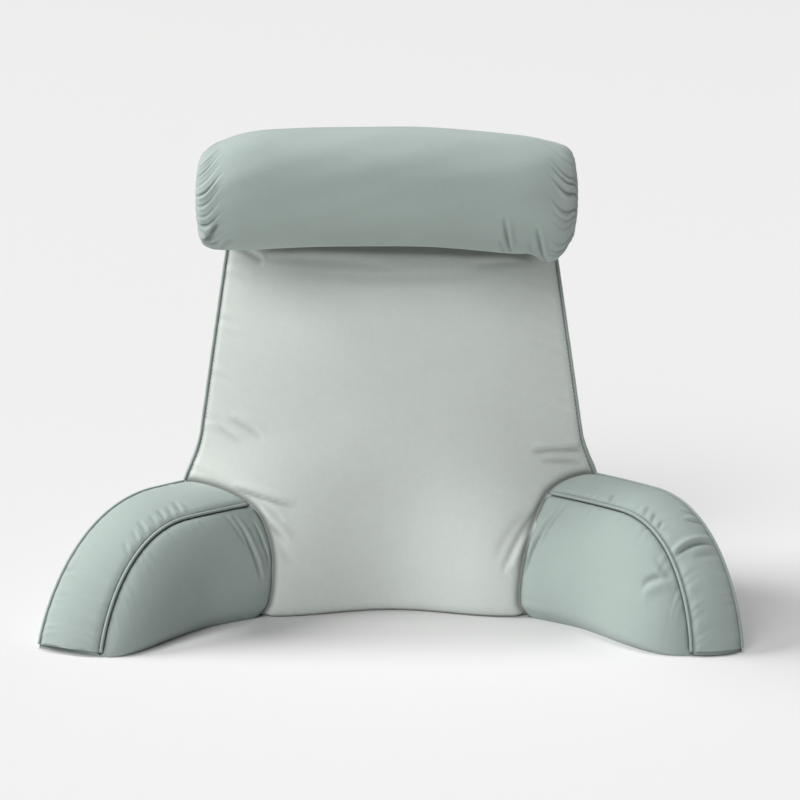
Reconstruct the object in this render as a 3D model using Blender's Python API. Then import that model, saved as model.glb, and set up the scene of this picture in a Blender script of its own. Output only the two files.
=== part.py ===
"""Reading pillow: a wedge backrest with a paler front panel, two splayed arms and a neck bolster.

Metres, +Z up. X runs across the pillow, -Y is the side that the reader leans on, and the origin is on
the floor at the middle of the whole pillow. Every filled piece is one closed solid, and the cloth
pieces sewn over it (front panel, arm bands, end discs, piping) are solids of their own, a hair clear.
"""
from collections import namedtuple
from math import pi, radians, tan

import bpy
import numpy as np

# General sizes
CLEARANCE = 0.0003
CLOTH = 0.003
PIPING_RADIUS = 0.0025
EDGE_INSET = 0.0034
PANEL_INSET = 0.0065
FLOOR_EDGE = 0.012
BASE_FRONT_Y = -0.010
SHARP_ANGLE = radians(50.0)
ON_FLOOR = 0.0001

# Backrest: a boxed wedge cushion
BACK_HEIGHT = 0.565
BACK_LEAN = radians(14.0)
BACK_BELLY = 0.015
BASE_TOE = 0.010
BASE_TOE_HEIGHT = 0.15
HALF_WIDTH_TOP = 0.211
WIDTH_AT = 0.45
SIDE_SLOPE = 0.145
ROOT_HEIGHT = 0.155
ROOT_FLARE = 0.018
FLARE_FROM = 0.120
FLARE_TO = 0.215
CORNER_RADIUS = 0.055
SIDE_CROWN = 0.040
TOP_CROWN = 0.022
CROWN_POWER = 2.4
TOP_ROLL = 0.014
TOP_ROLL_LENGTH = 0.08
FLANK_SWELL = 0.028
FLANK_REACH = 1.16
FLANK_EDGE = 0.030
FLANK_EDGE_POWER = 5.0
FLANK_FROM = 0.04
FLANK_TO = 0.24
REAR_Y = 0.182
REAR_CROWN = 0.030
REAR_TOP_CROWN = 0.016
REAR_LEAN = 0.020
GUSSET_SWELL = 0.005
GUSSET_ROWS = 4
COLUMNS = 28
ROWS = 28
FOOT_ANGLES = (0.0, radians(50.0), radians(72.0))
CUTTER_SINK = 0.020

# Piping round the front panel stops just over the arms
PANEL_PIPING_FROM = 0.168
CAP_WELD = 0.00002

# Soft drag folds of the front panel: centre, direction, half length, half width, height
Fold = namedtuple("Fold", "x z turn length width rise")
PANEL_FOLDS = (
    Fold(0.205, 0.196, radians(-3.0), 0.045, 0.014, -0.0035),
    Fold(-0.180, 0.220, radians(18.0), 0.040, 0.015, -0.0025),
    Fold(-0.175, 0.452, radians(-30.0), 0.035, 0.014, 0.0030),
    Fold(-0.150, 0.150, radians(-12.0), 0.045, 0.015, 0.0030),
    Fold(0.165, 0.120, radians(62.0), 0.050, 0.015, 0.0030),
)

# Arms: plan points of the two seams of the band, and how each seam falls to the floor
Rise = namedtuple("Rise", "height level_until power drop")
Side = namedtuple("Side", "swell power drop")
Arm = namedtuple("Arm", (
    "name", "side", "outer_bend", "outer_foot", "inner_root", "inner_bend", "inner_foot",
    "outer_rise", "inner_rise", "root_side", "inner_side",
))
OUTER_ROOT = (0.264, 0.055)
ARMS = (
    Arm(name="arm_left", side=-1.0,
        outer_bend=(0.375, -0.045), outer_foot=(0.425, -0.146),
        inner_root=(0.184, 0.010), inner_bend=(0.300, -0.075), inner_foot=(0.346, -0.174),
        outer_rise=Rise(height=0.154, level_until=0.20, power=1.90, drop=0.80),
        inner_rise=Rise(height=0.135, level_until=0.35, power=1.90, drop=0.75),
        root_side=Side(swell=0.064, power=2.2, drop=0.85),
        inner_side=Side(swell=0.046, power=2.6, drop=0.56)),
    Arm(name="arm_right", side=1.0,
        outer_bend=(0.375, -0.045), outer_foot=(0.423, -0.156),
        inner_root=(0.206, 0.020), inner_bend=(0.318, -0.070), inner_foot=(0.360, -0.170),
        outer_rise=Rise(height=0.163, level_until=0.35, power=2.00, drop=0.68),
        inner_rise=Rise(height=0.147, level_until=0.40, power=2.10, drop=0.62),
        root_side=Side(swell=0.080, power=1.8, drop=0.95),
        inner_side=Side(swell=0.062, power=2.2, drop=0.60)),
)
OUTER_SIDE = Side(swell=0.020, power=2.6, drop=0.56)
ARM_SECTIONS = 18
SECTION_CROWDING = 1.6
ROOT_SIDE_UNTIL = 0.45
OUTER_SIDE_FROM = 0.35
CLOSING_FROM = 0.5
CLOSING_POWER = 3.0
CLOSING_DROP = 0.45
ARM_BURIED = 0.045
ARM_TOE = 0.004
BAND_CROWN = 0.006
ARM_TUCK = 0.010
TUCK_SHARE = 0.14
TUCK_FULL_HEIGHT = 0.10
SIDE_STEPS = (0.0, 0.045, 0.14, 0.32, 0.52, 0.71, 0.86, 0.955, 1.0)
BAND_STEPS = 6
SOLE_STEPS = 3

# Bolster: a filled neck roll with gathered ends
BOLSTER_RADIUS = 0.0742
BOLSTER_MOUTH = 0.050
BOLSTER_HALF = 0.228
BOLSTER_SHOULDER = 0.140
SHOULDER_POWER = 2.5
BOLSTER_X = -0.005
BOLSTER_Z = 0.5360
BOLSTER_Y = 0.053
DROOP_AT = 0.19
DROOP_LEFT = 0.005
DROOP_RIGHT = 0.014
MOUTH_SHIFT_LEFT = -0.009
MOUTH_SHIFT_RIGHT = 0.008
CORNER_SAG = 0.017
SAG_FROM = 0.175
SAG_TO = 0.210
SAG_END = 8.0
BOLSTER_REST = 0.0006
GATHERS = 16
GATHER_HEIGHT = 0.0022
GATHER_FROM = 0.188
GATHER_TO = 0.215
GATHER_BEAT = 6
BEAT_SHARE = 0.45
BOLSTER_STEPS = 64
BOLSTER_LENGTHS = 15
LENGTH_CROWDING = 1.7
DISC_CROWN = 0.005
DISC_RINGS = 3

# Colours of the two cloths, with their roughness
SAGE = (0.402, 0.476, 0.447, 1.0)
SILVER_SAGE = (0.560, 0.596, 0.572, 1.0)
ROUGHNESS = 0.85


def clear_scene():
    """Removes whatever the scene holds."""
    for item in list(bpy.data.objects):
        bpy.data.objects.remove(item, do_unlink=True)


def cloth_material(name, colour):
    """A matt woven cloth of one colour."""
    material = bpy.data.materials.new(name)
    material.use_nodes = True
    shader = material.node_tree.nodes["Principled BSDF"]
    shader.inputs["Base Color"].default_value = colour
    shader.inputs["Roughness"].default_value = ROUGHNESS
    shader.inputs["Metallic"].default_value = 0.0
    return material


def smooth(start, end, value):
    """Zero up to start, one from end, and a soft S between."""
    share = np.clip((value - start) / (end - start), 0.0, 1.0)
    return share * share * (3.0 - 2.0 * share)


def link(name, mesh, material):
    """A new object of this mesh, shaded smooth but for its sharp edges."""
    thing = bpy.data.objects.new(name, mesh)
    bpy.context.scene.collection.objects.link(thing)
    mesh.materials.append(material)
    mesh.shade_smooth()
    mesh.set_sharp_from_angle(angle=SHARP_ANGLE)
    return thing


def grid_faces(rows, columns, first=0, closed=False):
    """Triangles of a grid of points, all cut the same way. Closed joins the last column to the first."""
    faces = []
    for row in range(rows - 1):
        for column in range(columns if closed else columns - 1):
            after = (column + 1) % columns
            a = first + row * columns + column
            b = first + row * columns + after
            c = first + (row + 1) * columns + after
            d = first + (row + 1) * columns + column
            faces.append((a, b, c))
            faces.append((a, c, d))
    return faces


def grid_normals(points):
    """Unit normals of a grid of points, from its two directions."""
    along = np.gradient(points, axis=0)
    across = np.gradient(points, axis=1)
    normals = np.cross(across, along)
    return normals / np.linalg.norm(normals, axis=2, keepdims=True)


def half_width(z):
    """Half the backrest's width at a height: straight tapering sides that flare where the arms spring."""
    straight = HALF_WIDTH_TOP + SIDE_SLOPE * (WIDTH_AT - np.maximum(z, ROOT_HEIGHT))
    return straight + ROOT_FLARE * (1.0 - smooth(FLARE_FROM, FLARE_TO, z))


def panel_folds(x, z):
    """Height of the front panel's drag folds at a place: long soft ridges and troughs."""
    height = np.zeros_like(x)
    for fold in PANEL_FOLDS:
        along = (x - fold.x) * np.cos(fold.turn) + (z - fold.z) * np.sin(fold.turn)
        across = (z - fold.z) * np.cos(fold.turn) - (x - fold.x) * np.sin(fold.turn)
        height = height + fold.rise * np.exp(-(along / fold.length) ** 2 - (across / fold.width) ** 2)
    return height


def front_y(x, z):
    """Front face: a leaning plane with a belly, drawn back at its sides and swelling towards the arms."""
    share = np.abs(x) / half_width(z)
    toe = BASE_TOE * (1.0 - smooth(0.0, BASE_TOE_HEIGHT, z))
    centre = BASE_FRONT_Y - toe + z * tan(BACK_LEAN) - BACK_BELLY * np.sin(pi * z / BACK_HEIGHT)
    upper = (SIDE_CROWN + (TOP_CROWN - SIDE_CROWN) * z / BACK_HEIGHT) * share ** CROWN_POWER
    swell = np.sin(pi * np.minimum(share, 1.0) / FLANK_REACH) ** 2
    lower = FLANK_EDGE * share ** FLANK_EDGE_POWER - FLANK_SWELL * swell
    weight = smooth(FLANK_FROM, FLANK_TO, z)
    roll = np.clip((z - BACK_HEIGHT + TOP_ROLL_LENGTH) / TOP_ROLL_LENGTH, 0.0, None)
    return centre + weight * upper + (1.0 - weight) * lower + TOP_ROLL * roll ** 2 - panel_folds(x, z)


def rear_y(x, z):
    """Rear face: it leans back a little, crowned, and drawn in at its sides and top."""
    share = np.abs(x) / half_width(z)
    roll = np.clip((z - BACK_HEIGHT + TOP_ROLL_LENGTH) / TOP_ROLL_LENGTH, 0.0, None)
    rise = z / BACK_HEIGHT
    crown = REAR_CROWN + (REAR_TOP_CROWN - REAR_CROWN) * rise
    return REAR_Y + BASE_FRONT_Y + REAR_LEAN * rise - crown * share ** CROWN_POWER - TOP_ROLL * roll ** 2


def outline_grid():
    """Places x and z of the backrest's grid: even columns and rows, with the two top corners rounded."""
    s = np.linspace(-1.0, 1.0, COLUMNS + 1)[None, :]
    feet = FLOOR_EDGE * (1.0 - np.cos(np.array(FOOT_ANGLES)))
    rows = np.concatenate([feet, np.linspace(FLOOR_EDGE, BACK_HEIGHT, ROWS - len(feet) + 1)])
    t = (rows / BACK_HEIGHT)[:, None]
    s, t = np.broadcast_arrays(s, t)
    side = 1.0 - CORNER_RADIUS / HALF_WIDTH_TOP
    top = 1.0 - CORNER_RADIUS / BACK_HEIGHT
    a = np.clip((np.abs(s) - side) / (1.0 - side), 0.0, 1.0)
    b = np.clip((t - top) / (1.0 - top), 0.0, 1.0)
    share = np.where(np.abs(s) > side, side + (1.0 - side) * a * np.sqrt(1.0 - b * b / 2.0), np.abs(s))
    rise = np.where(t > top, top + (1.0 - top) * b * np.sqrt(1.0 - a * a / 2.0), t)
    z = rise * BACK_HEIGHT
    x = np.sign(s) * share * half_width(z)
    return x, z


def foot_inset(z):
    """How far the cloth tucks in above the floor: a quarter circle."""
    low = np.clip(1.0 - z / FLOOR_EDGE, 0.0, 1.0)
    return FLOOR_EDGE * (1.0 - np.sqrt(1.0 - low * low))


def backrest_faces():
    """Grids of the front face and of the rear face, as points."""
    x, z = outline_grid()
    inset = foot_inset(z)
    tucked = x * (1.0 - inset / half_width(z))
    front = np.stack([tucked, front_y(x, z) + inset, z], axis=2)
    rear = np.stack([tucked, rear_y(x, z) - inset, z], axis=2)
    return front, rear


def rim(grid):
    """Points round the edge of a grid: along its foot, up the right, back over the top, down the left."""
    return np.concatenate([grid[0, :-1], grid[:-1, -1], grid[-1, :0:-1], grid[:0:-1, 0]])


def rim_outward(points):
    """Directions out of the backrest's outline, seen from the front, at the points of its rim."""
    ahead = np.roll(points, -1, axis=0) - np.roll(points, 1, axis=0)
    outward = np.stack([ahead[:, 2], np.zeros(len(points)), -ahead[:, 0]], axis=1)
    outward /= np.linalg.norm(outward, axis=1, keepdims=True)
    outward[points[:, 2] < ON_FLOOR] = 0.0
    return outward


def gusset_row(front_edge, rear_edge, outward, share, grow=0.0):
    """Points of the gusset at a share of its width, front seam to rear seam: it swells between them."""
    swell = GUSSET_SWELL * np.sin(pi * share) + grow
    return (1.0 - share) * front_edge + share * rear_edge + swell * outward


def backrest_mesh(name, front_grow=0.0, side_grow=0.0, sink=0.0):
    """The wedge as one closed mesh. It can be grown at its front and sides and sunk below the floor."""
    front, rear = backrest_faces()
    outward = rim_outward(rim(front))
    front = front + front_grow * grid_normals(front)
    rear = rear - side_grow * grid_normals(rear)
    shares = np.linspace(0.0, 1.0, GUSSET_ROWS + 1)
    edges = [gusset_row(rim(front), rim(rear), outward, share, side_grow) for share in shares]
    rows, columns = front.shape[:2]
    for grid, edge in ((front, edges[0]), (rear, edges[-1])):
        grid[0, :] = edge[:columns]
        grid[:, -1] = edge[columns - 1:columns + rows - 1]
        grid[-1, :] = edge[columns + rows - 2:2 * columns + rows - 2][::-1]
        grid[1:, 0] = edge[2 * columns + rows - 3:][::-1]
    band = np.stack(edges[1:-1])
    points = np.concatenate([front.reshape(-1, 3), rear.reshape(-1, 3), band.reshape(-1, 3)])
    points[points[:, 2] < ON_FLOOR, 2] -= sink
    number = np.arange(rows * columns).reshape(rows, columns, 1)
    front_rim = rim(number)[:, 0]
    rear_rim = front_rim + rows * columns
    faces = grid_faces(rows, columns)
    faces += [(a, c, b) for a, b, c in grid_faces(rows, columns, rows * columns)]
    around = len(front_rim)
    rings = [front_rim]
    for row in range(GUSSET_ROWS - 1):
        rings.append(2 * rows * columns + row * around + np.arange(around))
    rings.append(rear_rim)
    for low, high in zip(rings[:-1], rings[1:]):
        for k in range(around):
            after = (k + 1) % around
            faces.append((low[k], high[k], high[after]))
            faces.append((low[k], high[after], low[after]))
    mesh = bpy.data.meshes.new(name)
    mesh.from_pydata(points.tolist(), [], [[int(i) for i in face] for face in faces])
    return mesh


def sheet(name, grid, material, flip=False):
    """A cloth sheet over a grid of points that already lie a hair above the piece below."""
    rows, columns = grid.shape[:2]
    faces = grid_faces(rows, columns)
    if flip:
        faces = [(a, c, b) for a, b, c in faces]
    mesh = bpy.data.meshes.new(name)
    mesh.from_pydata(grid.reshape(-1, 3).tolist(), [], faces)
    thing = link(name, mesh, material)
    solidify = thing.modifiers.new("Cloth", "SOLIDIFY")
    solidify.thickness = CLOTH
    solidify.offset = 1.0
    return thing


def inset_edge(grid, axis, distance):
    """The grid with its first and last lines along an axis drawn in by a distance."""
    grid = np.moveaxis(grid.copy(), axis, 0)
    for edge, inner in ((0, 1), (-1, -2)):
        step = grid[inner] - grid[edge]
        grid[edge] += step * distance / np.linalg.norm(step, axis=-1, keepdims=True)
    return np.moveaxis(grid, 0, axis)


def above(route, height):
    """The stretch of a route that lies above a height, with its two ends cut at that height."""
    kept = np.flatnonzero(route[:, 2] > height)
    ends = []
    for inner, outer in ((kept[0], kept[0] - 1), (kept[-1], kept[-1] + 1)):
        share = (route[inner, 2] - height) / (route[inner, 2] - route[outer, 2])
        ends.append(route[inner] + share * (route[outer] - route[inner]))
    return np.concatenate([ends[:1], route[kept], ends[1:]])


def piping(name, route, material):
    """A round cord sewn along a seam, made as a bevelled curve and turned into a mesh."""
    curve = bpy.data.curves.new(name + "_route", "CURVE")
    curve.dimensions = "3D"
    curve.bevel_depth = PIPING_RADIUS
    curve.bevel_resolution = 1
    curve.use_fill_caps = True
    spline = curve.splines.new("POLY")
    spline.points.add(len(route) - 1)
    spline.points.foreach_set("co", np.c_[route, np.ones(len(route))].ravel())
    guide = bpy.data.objects.new(name + "_route", curve)
    bpy.context.scene.collection.objects.link(guide)
    bpy.context.view_layer.update()
    mesh = bpy.data.meshes.new_from_object(guide.evaluated_get(bpy.context.evaluated_depsgraph_get()))
    mesh.name = name
    mesh.materials.clear()
    bpy.data.objects.remove(guide, do_unlink=True)
    thing = link(name, mesh, material)
    weld = thing.modifiers.new("Caps", "WELD")
    weld.merge_threshold = CAP_WELD
    return thing


def cut_by(thing, cutter):
    """Trims a piece where it meets the backrest and its front panel."""
    trim = thing.modifiers.new("Root", "BOOLEAN")
    trim.operation = "DIFFERENCE"
    trim.object = cutter
    trim.solver = "EXACT"


def seam_height(rise, t):
    """A seam's height along the arm: level, then a rounded fall to the floor at the arm's end."""
    share = np.clip((t - rise.level_until) / (1.0 - rise.level_until), 0.0, 1.0)
    fall = np.clip(1.0 - share ** rise.power, 0.0, 1.0) ** rise.drop
    return np.maximum(rise.height * fall, ARM_TOE)


def seam_plan(root, bend, foot, t):
    """A seam's course seen from above: one quadratic curve, run on straight into the backrest."""
    root, bend, foot = (np.array(point) for point in (root, bend, foot))
    inside = np.clip(-t, 0.0, None)[:, None]
    t = np.clip(t, 0.0, 1.0)[:, None]
    course = (1.0 - t) ** 2 * root + 2.0 * t * (1.0 - t) * bend + t ** 2 * foot
    back = (root - bend) / np.linalg.norm(root - bend)
    return course + inside * back


def side_profile(form, share):
    """How far a filled side stands out between the floor (0) and its seam (1)."""
    return form.swell * (1.0 - share ** form.power) ** form.drop


def arm_grid(arm):
    """Rings of points round the arm, one for each section, and the ring places of the two seams."""
    even = np.linspace(0.0, 1.0, ARM_SECTIONS)
    t = np.concatenate([[-ARM_BURIED], 1.0 - (1.0 - even) ** SECTION_CROWDING])
    outer = seam_plan(OUTER_ROOT, arm.outer_bend, arm.outer_foot, t)
    inner = seam_plan(arm.inner_root, arm.inner_bend, arm.inner_foot, t)
    outer_z = seam_height(arm.outer_rise, t)
    inner_z = seam_height(arm.inner_rise, t)
    towards = (inner - outer) / np.linalg.norm(inner - outer, axis=1, keepdims=True)
    late = np.clip((t - CLOSING_FROM) / (1.0 - CLOSING_FROM), 0.0, 1.0)
    closing = (1.0 - late ** CLOSING_POWER) ** CLOSING_DROP
    steps = np.array(SIDE_STEPS)
    rooted = (1.0 - smooth(0.0, ROOT_SIDE_UNTIL, t))[:, None]
    inner_out = rooted * side_profile(arm.root_side, steps)
    inner_out = inner_out + (1.0 - rooted) * side_profile(arm.inner_side, steps)
    inner_out = inner_out * closing[:, None]
    outer_full = smooth(0.0, OUTER_SIDE_FROM, t) * (1.0 - late ** 2)
    outer_out = outer_full[:, None] * side_profile(OUTER_SIDE, steps)
    tuck = ARM_TUCK * np.clip(1.0 - steps / TUCK_SHARE, 0.0, 1.0) ** 2

    def side(seam, seam_z, out, way):
        """One filled side: its points from the floor up to the seam."""
        low = tuck[None, :] * np.minimum(seam_z / TUCK_FULL_HEIGHT, 1.0)[:, None]
        plan = seam[:, None, :] + way[:, None, :] * (out - low)[:, :, None]
        height = seam_z[:, None] * steps[None, :]
        return np.concatenate([plan, height[:, :, None]], axis=2)

    outer_side = side(outer, outer_z, outer_out, -towards)
    inner_side = side(inner, inner_z, inner_out, towards)
    share = (np.arange(1, BAND_STEPS) / BAND_STEPS)[None, :, None]
    band = outer_side[:, -1:, :] * (1.0 - share) + inner_side[:, -1:, :] * share
    ahead = np.gradient(band.mean(axis=1), axis=0)
    across = inner_side[:, -1, :] - outer_side[:, -1, :]
    lift = np.cross(across, ahead)
    lift /= np.linalg.norm(lift, axis=1, keepdims=True)
    band = band + BAND_CROWN * 4.0 * share * (1.0 - share) * lift[:, None, :]
    sole_share = (np.arange(1, SOLE_STEPS) / SOLE_STEPS)[None, :, None]
    sole = inner_side[:, :1, :] * (1.0 - sole_share) + outer_side[:, :1, :] * sole_share
    ring = np.concatenate([outer_side, band, inner_side[:, ::-1, :], sole], axis=1)
    ring[:, :, 0] *= arm.side
    ring[:, :, 1] += BASE_FRONT_Y
    outer_place = len(steps) - 1
    return ring, outer_place, outer_place + BAND_STEPS


def ring_normals(ring, side):
    """Unit normals out of a stack of closed rings, halving the corner at each point."""
    along = np.gradient(ring, axis=0)
    ahead = np.roll(ring, -1, axis=1) - ring
    ahead /= np.linalg.norm(ahead, axis=2, keepdims=True)
    around = ahead + np.roll(ahead, 1, axis=1)
    normals = side * np.cross(around, along)
    return normals / np.linalg.norm(normals, axis=2, keepdims=True)


def arm_body(arm, ring, material):
    """The filled arm: its rings joined, and closed at the root and at the toe."""
    rows, columns = ring.shape[:2]
    faces = grid_faces(rows, columns, closed=True)
    faces.append(tuple(range(columns))[::-1])
    faces.append(tuple(range((rows - 1) * columns, rows * columns)))
    if arm.side < 0.0:
        faces = [face[::-1] for face in faces]
    mesh = bpy.data.meshes.new(arm.name)
    mesh.from_pydata(ring.reshape(-1, 3).tolist(), [], faces)
    return link(arm.name, mesh, material)


def seam_route(ring, normals, place):
    """A cord's centre line on a seam: its radius and a hair off the arm, down to just over the floor."""
    route = ring[:, place] + (PIPING_RADIUS + CLEARANCE) * normals[:, place]
    return route[route[:, 2] > PIPING_RADIUS + CLEARANCE]


def make_arm(arm, cutter, material):
    """The filled arm, the band sewn along its top and front, and the piping in its two seams."""
    ring, outer_place, inner_place = arm_grid(arm)
    normals = ring_normals(ring, arm.side)
    cut_by(arm_body(arm, ring, material), cutter)
    band = ring[:-1, outer_place:inner_place + 1] + CLEARANCE * normals[:-1, outer_place:inner_place + 1]
    band = inset_edge(band, 1, EDGE_INSET)
    cut_by(sheet(arm.name + "_band", band, material, flip=arm.side < 0.0), cutter)
    for seam, place in (("outer", outer_place), ("inner", inner_place)):
        route = seam_route(ring, normals, place)
        cut_by(piping(f"{arm.name}_{seam}_piping", route, material), cutter)


def make_backrest(material, panel_material):
    """The wedge cushion, its paler front panel and the piping round that panel."""
    backrest = link("backrest", backrest_mesh("backrest"), material)
    front, rear = backrest_faces()
    normals = grid_normals(front)
    panel = front[1:] + CLEARANCE * normals[1:]
    panel = inset_edge(inset_edge(panel, 1, PANEL_INSET), 0, PANEL_INSET)
    sheet("front_panel", panel[::-1, ::-1], panel_material)
    edge = rim(front)
    ahead = np.roll(edge, -1, axis=0) - np.roll(edge, 1, axis=0)
    aside = gusset_row(edge, rim(rear), rim_outward(edge), 1.0 / GUSSET_ROWS) - edge
    gusset_normals = np.cross(aside, ahead)
    gusset_normals /= np.linalg.norm(gusset_normals, axis=1, keepdims=True)
    way = rim(normals) + gusset_normals
    way /= np.linalg.norm(way, axis=1, keepdims=True)
    route = edge + (PIPING_RADIUS + CLEARANCE) * way
    piping("front_panel_piping", above(route, PANEL_PIPING_FROM), material)
    return backrest


def shoulder(x):
    """Share of the roll's shoulder passed along it: zero on the full roll, one at its mouth."""
    return np.clip((np.abs(x) - BOLSTER_SHOULDER) / (BOLSTER_HALF - BOLSTER_SHOULDER), 0.0, 1.0)


def corner_sag(x, turns):
    """How far the filling sags below the roll's right shoulder: most underneath, nothing on top."""
    below = (0.5 - 0.5 * np.sin(turns)) ** 2
    return CORNER_SAG * smooth(SAG_FROM, SAG_TO, x) * (1.0 - shoulder(x) ** SAG_END) * below


def bolster_axis(x):
    """Height of the roll's middle along it: it droops to its ends, and each mouth sits off its middle."""
    droop = np.where(x < 0.0, DROOP_LEFT, DROOP_RIGHT)
    shift = np.where(x < 0.0, MOUTH_SHIFT_LEFT, MOUTH_SHIFT_RIGHT)
    return BOLSTER_Z - droop * (x / DROOP_AT) ** 2 + shift * shoulder(x) ** 2


def bolster_radius(x):
    """Radius along the roll: full, then a round shoulder down to the gathered mouth."""
    return BOLSTER_MOUTH + (BOLSTER_RADIUS - BOLSTER_MOUTH) * (1.0 - shoulder(x) ** SHOULDER_POWER) ** 0.5


def rested(points):
    """Points kept in front of the front panel, so that the roll lies flat against it where they meet."""
    limit = front_y(points[..., 0], points[..., 2]) - CLEARANCE - CLOTH - BOLSTER_REST
    kept = np.minimum(points[..., 1], limit)
    points[..., 1] = np.where(points[..., 2] < BACK_HEIGHT, kept, points[..., 1])
    return points


def bolster_points(x, radius, turns):
    """Points at a radius round the roll's middle, for places along it and angles round it."""
    y = BOLSTER_Y + BASE_FRONT_Y + radius * np.cos(turns)
    z = bolster_axis(x) + radius * np.sin(turns) - corner_sag(x, turns)
    return np.stack(np.broadcast_arrays(x + BOLSTER_X, y, z), axis=-1)


def make_bolster(material):
    """The neck roll: a turned form whose shoulders are raised in gathers, and its two crowned end discs."""
    share = np.linspace(-1.0, 1.0, BOLSTER_LENGTHS)
    x = (BOLSTER_HALF * np.sign(share) * (1.0 - (1.0 - np.abs(share)) ** LENGTH_CROWDING))[:, None]
    turns = np.linspace(0.0, 2.0 * pi, BOLSTER_STEPS, endpoint=False)[None, :]
    wave = np.cos(GATHERS * turns) + BEAT_SHARE * np.cos(GATHER_BEAT * turns + np.sign(x))
    reach = smooth(GATHER_FROM, GATHER_TO, np.abs(x))
    radius = bolster_radius(x) + GATHER_HEIGHT * wave * reach
    rings = rested(bolster_points(x, radius, turns))
    crowns = []
    for end in (-1.0, 1.0):
        inward = np.linspace(1.0, 0.0, DISC_RINGS + 1)[1:-1, None]
        bulge = end * (BOLSTER_HALF + DISC_CROWN * (1.0 - inward ** 2) * np.ones_like(turns))
        crowns.append(bolster_points(bulge, BOLSTER_MOUTH * inward, turns))
    stack = np.concatenate([crowns[0][::-1], rings, crowns[1]])
    points = stack.reshape(-1, 3).tolist()
    faces = grid_faces(stack.shape[0], BOLSTER_STEPS, closed=True)
    for end, row in ((-1.0, 0), (1.0, stack.shape[0] - 1)):
        tip = bolster_points(np.array(end * (BOLSTER_HALF + DISC_CROWN)), 0.0, 0.0)
        points.append(tip.tolist())
        for k in range(BOLSTER_STEPS):
            pair = (row * BOLSTER_STEPS + k, row * BOLSTER_STEPS + (k + 1) % BOLSTER_STEPS)
            pair = pair if end > 0.0 else pair[::-1]
            faces.append((len(points) - 1, pair[0], pair[1]))
    mesh = bpy.data.meshes.new("bolster")
    mesh.from_pydata(points, [], faces)
    link("bolster", mesh, material)
    for name, end in (("bolster_end_left", -1.0), ("bolster_end_right", 1.0)):
        make_end_disc(name, end, material)


def make_end_disc(name, end, material):
    """A crowned cloth disc closing one end of the roll, just inside the gathered mouth."""
    segments = BOLSTER_STEPS // 2
    turns = np.linspace(0.0, 2.0 * pi, segments, endpoint=False)[None, :]
    inward = np.linspace(1.0, 0.0, DISC_RINGS + 1)[:-1, None]
    edge = BOLSTER_MOUTH - GATHER_HEIGHT - PIPING_RADIUS
    lift = CLEARANCE * 2.0 + DISC_CROWN * (1.0 - (inward * edge / BOLSTER_MOUTH) ** 2)
    x = end * (BOLSTER_HALF + lift * np.ones_like(turns))
    rings = bolster_points(x, edge * inward, turns)
    points = rings.reshape(-1, 3).tolist()
    faces = grid_faces(DISC_RINGS, segments, closed=True)
    tip = bolster_points(np.array(end * (BOLSTER_HALF + CLEARANCE * 2.0 + DISC_CROWN)), 0.0, 0.0)
    points.append(tip.tolist())
    last = (DISC_RINGS - 1) * segments
    for k in range(segments):
        faces.append((last + k, last + (k + 1) % segments, len(points) - 1))
    if end < 0.0:
        faces = [face[::-1] for face in faces]
    mesh = bpy.data.meshes.new(name)
    mesh.from_pydata(points, [], faces)
    disc = link(name, mesh, material)
    solidify = disc.modifiers.new("Cloth", "SOLIDIFY")
    solidify.thickness = CLOTH
    solidify.offset = 1.0


def main():
    clear_scene()
    sage = cloth_material("sage_cloth", SAGE)
    silver = cloth_material("silver_sage_cloth", SILVER_SAGE)
    make_backrest(sage, silver)
    grow = CLOTH + 2.0 * CLEARANCE
    cutter_mesh = backrest_mesh("root_cutter", front_grow=grow, side_grow=CLEARANCE, sink=CUTTER_SINK)
    cutter = bpy.data.objects.new("root_cutter", cutter_mesh)
    bpy.context.scene.collection.objects.link(cutter)
    cutter.hide_render = True
    cutter.display_type = "WIRE"
    for arm in ARMS:
        make_arm(arm, cutter, sage)
    make_bolster(sage)


main()
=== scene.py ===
# %% [markdown]
# # A reading pillow
#
# The real object is a big stuffed pillow that stands on a bed and holds a reader up: a filled wedge with
# a paler front panel, two filled arms that splay forwards, and a soft neck roll along its top. The
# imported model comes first: every cloth piece below starts from the sizes of the plain solid it stands for.

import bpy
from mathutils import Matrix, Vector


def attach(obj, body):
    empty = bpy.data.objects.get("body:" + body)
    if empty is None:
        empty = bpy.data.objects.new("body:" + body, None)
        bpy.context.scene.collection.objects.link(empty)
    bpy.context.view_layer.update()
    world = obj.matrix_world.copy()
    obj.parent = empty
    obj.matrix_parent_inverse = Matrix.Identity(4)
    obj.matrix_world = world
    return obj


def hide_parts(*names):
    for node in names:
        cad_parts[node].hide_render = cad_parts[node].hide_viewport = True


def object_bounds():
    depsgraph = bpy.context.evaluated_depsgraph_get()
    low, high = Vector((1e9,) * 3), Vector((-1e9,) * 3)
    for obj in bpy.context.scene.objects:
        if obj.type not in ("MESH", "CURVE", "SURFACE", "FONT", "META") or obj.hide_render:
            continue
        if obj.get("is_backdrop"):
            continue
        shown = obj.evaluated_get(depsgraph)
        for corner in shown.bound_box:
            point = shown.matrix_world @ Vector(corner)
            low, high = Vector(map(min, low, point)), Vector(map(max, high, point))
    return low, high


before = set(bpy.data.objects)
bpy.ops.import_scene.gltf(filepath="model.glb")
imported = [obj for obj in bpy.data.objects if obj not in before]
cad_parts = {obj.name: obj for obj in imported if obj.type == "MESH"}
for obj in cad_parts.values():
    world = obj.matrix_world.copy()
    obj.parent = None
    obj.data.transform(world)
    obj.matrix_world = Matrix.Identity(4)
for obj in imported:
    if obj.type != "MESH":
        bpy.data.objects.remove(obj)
cad_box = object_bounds()
print("solids:", ", ".join(sorted(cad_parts)))
print("box in metres:", [round(value, 3) for corner in cad_box for value in corner])

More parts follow.
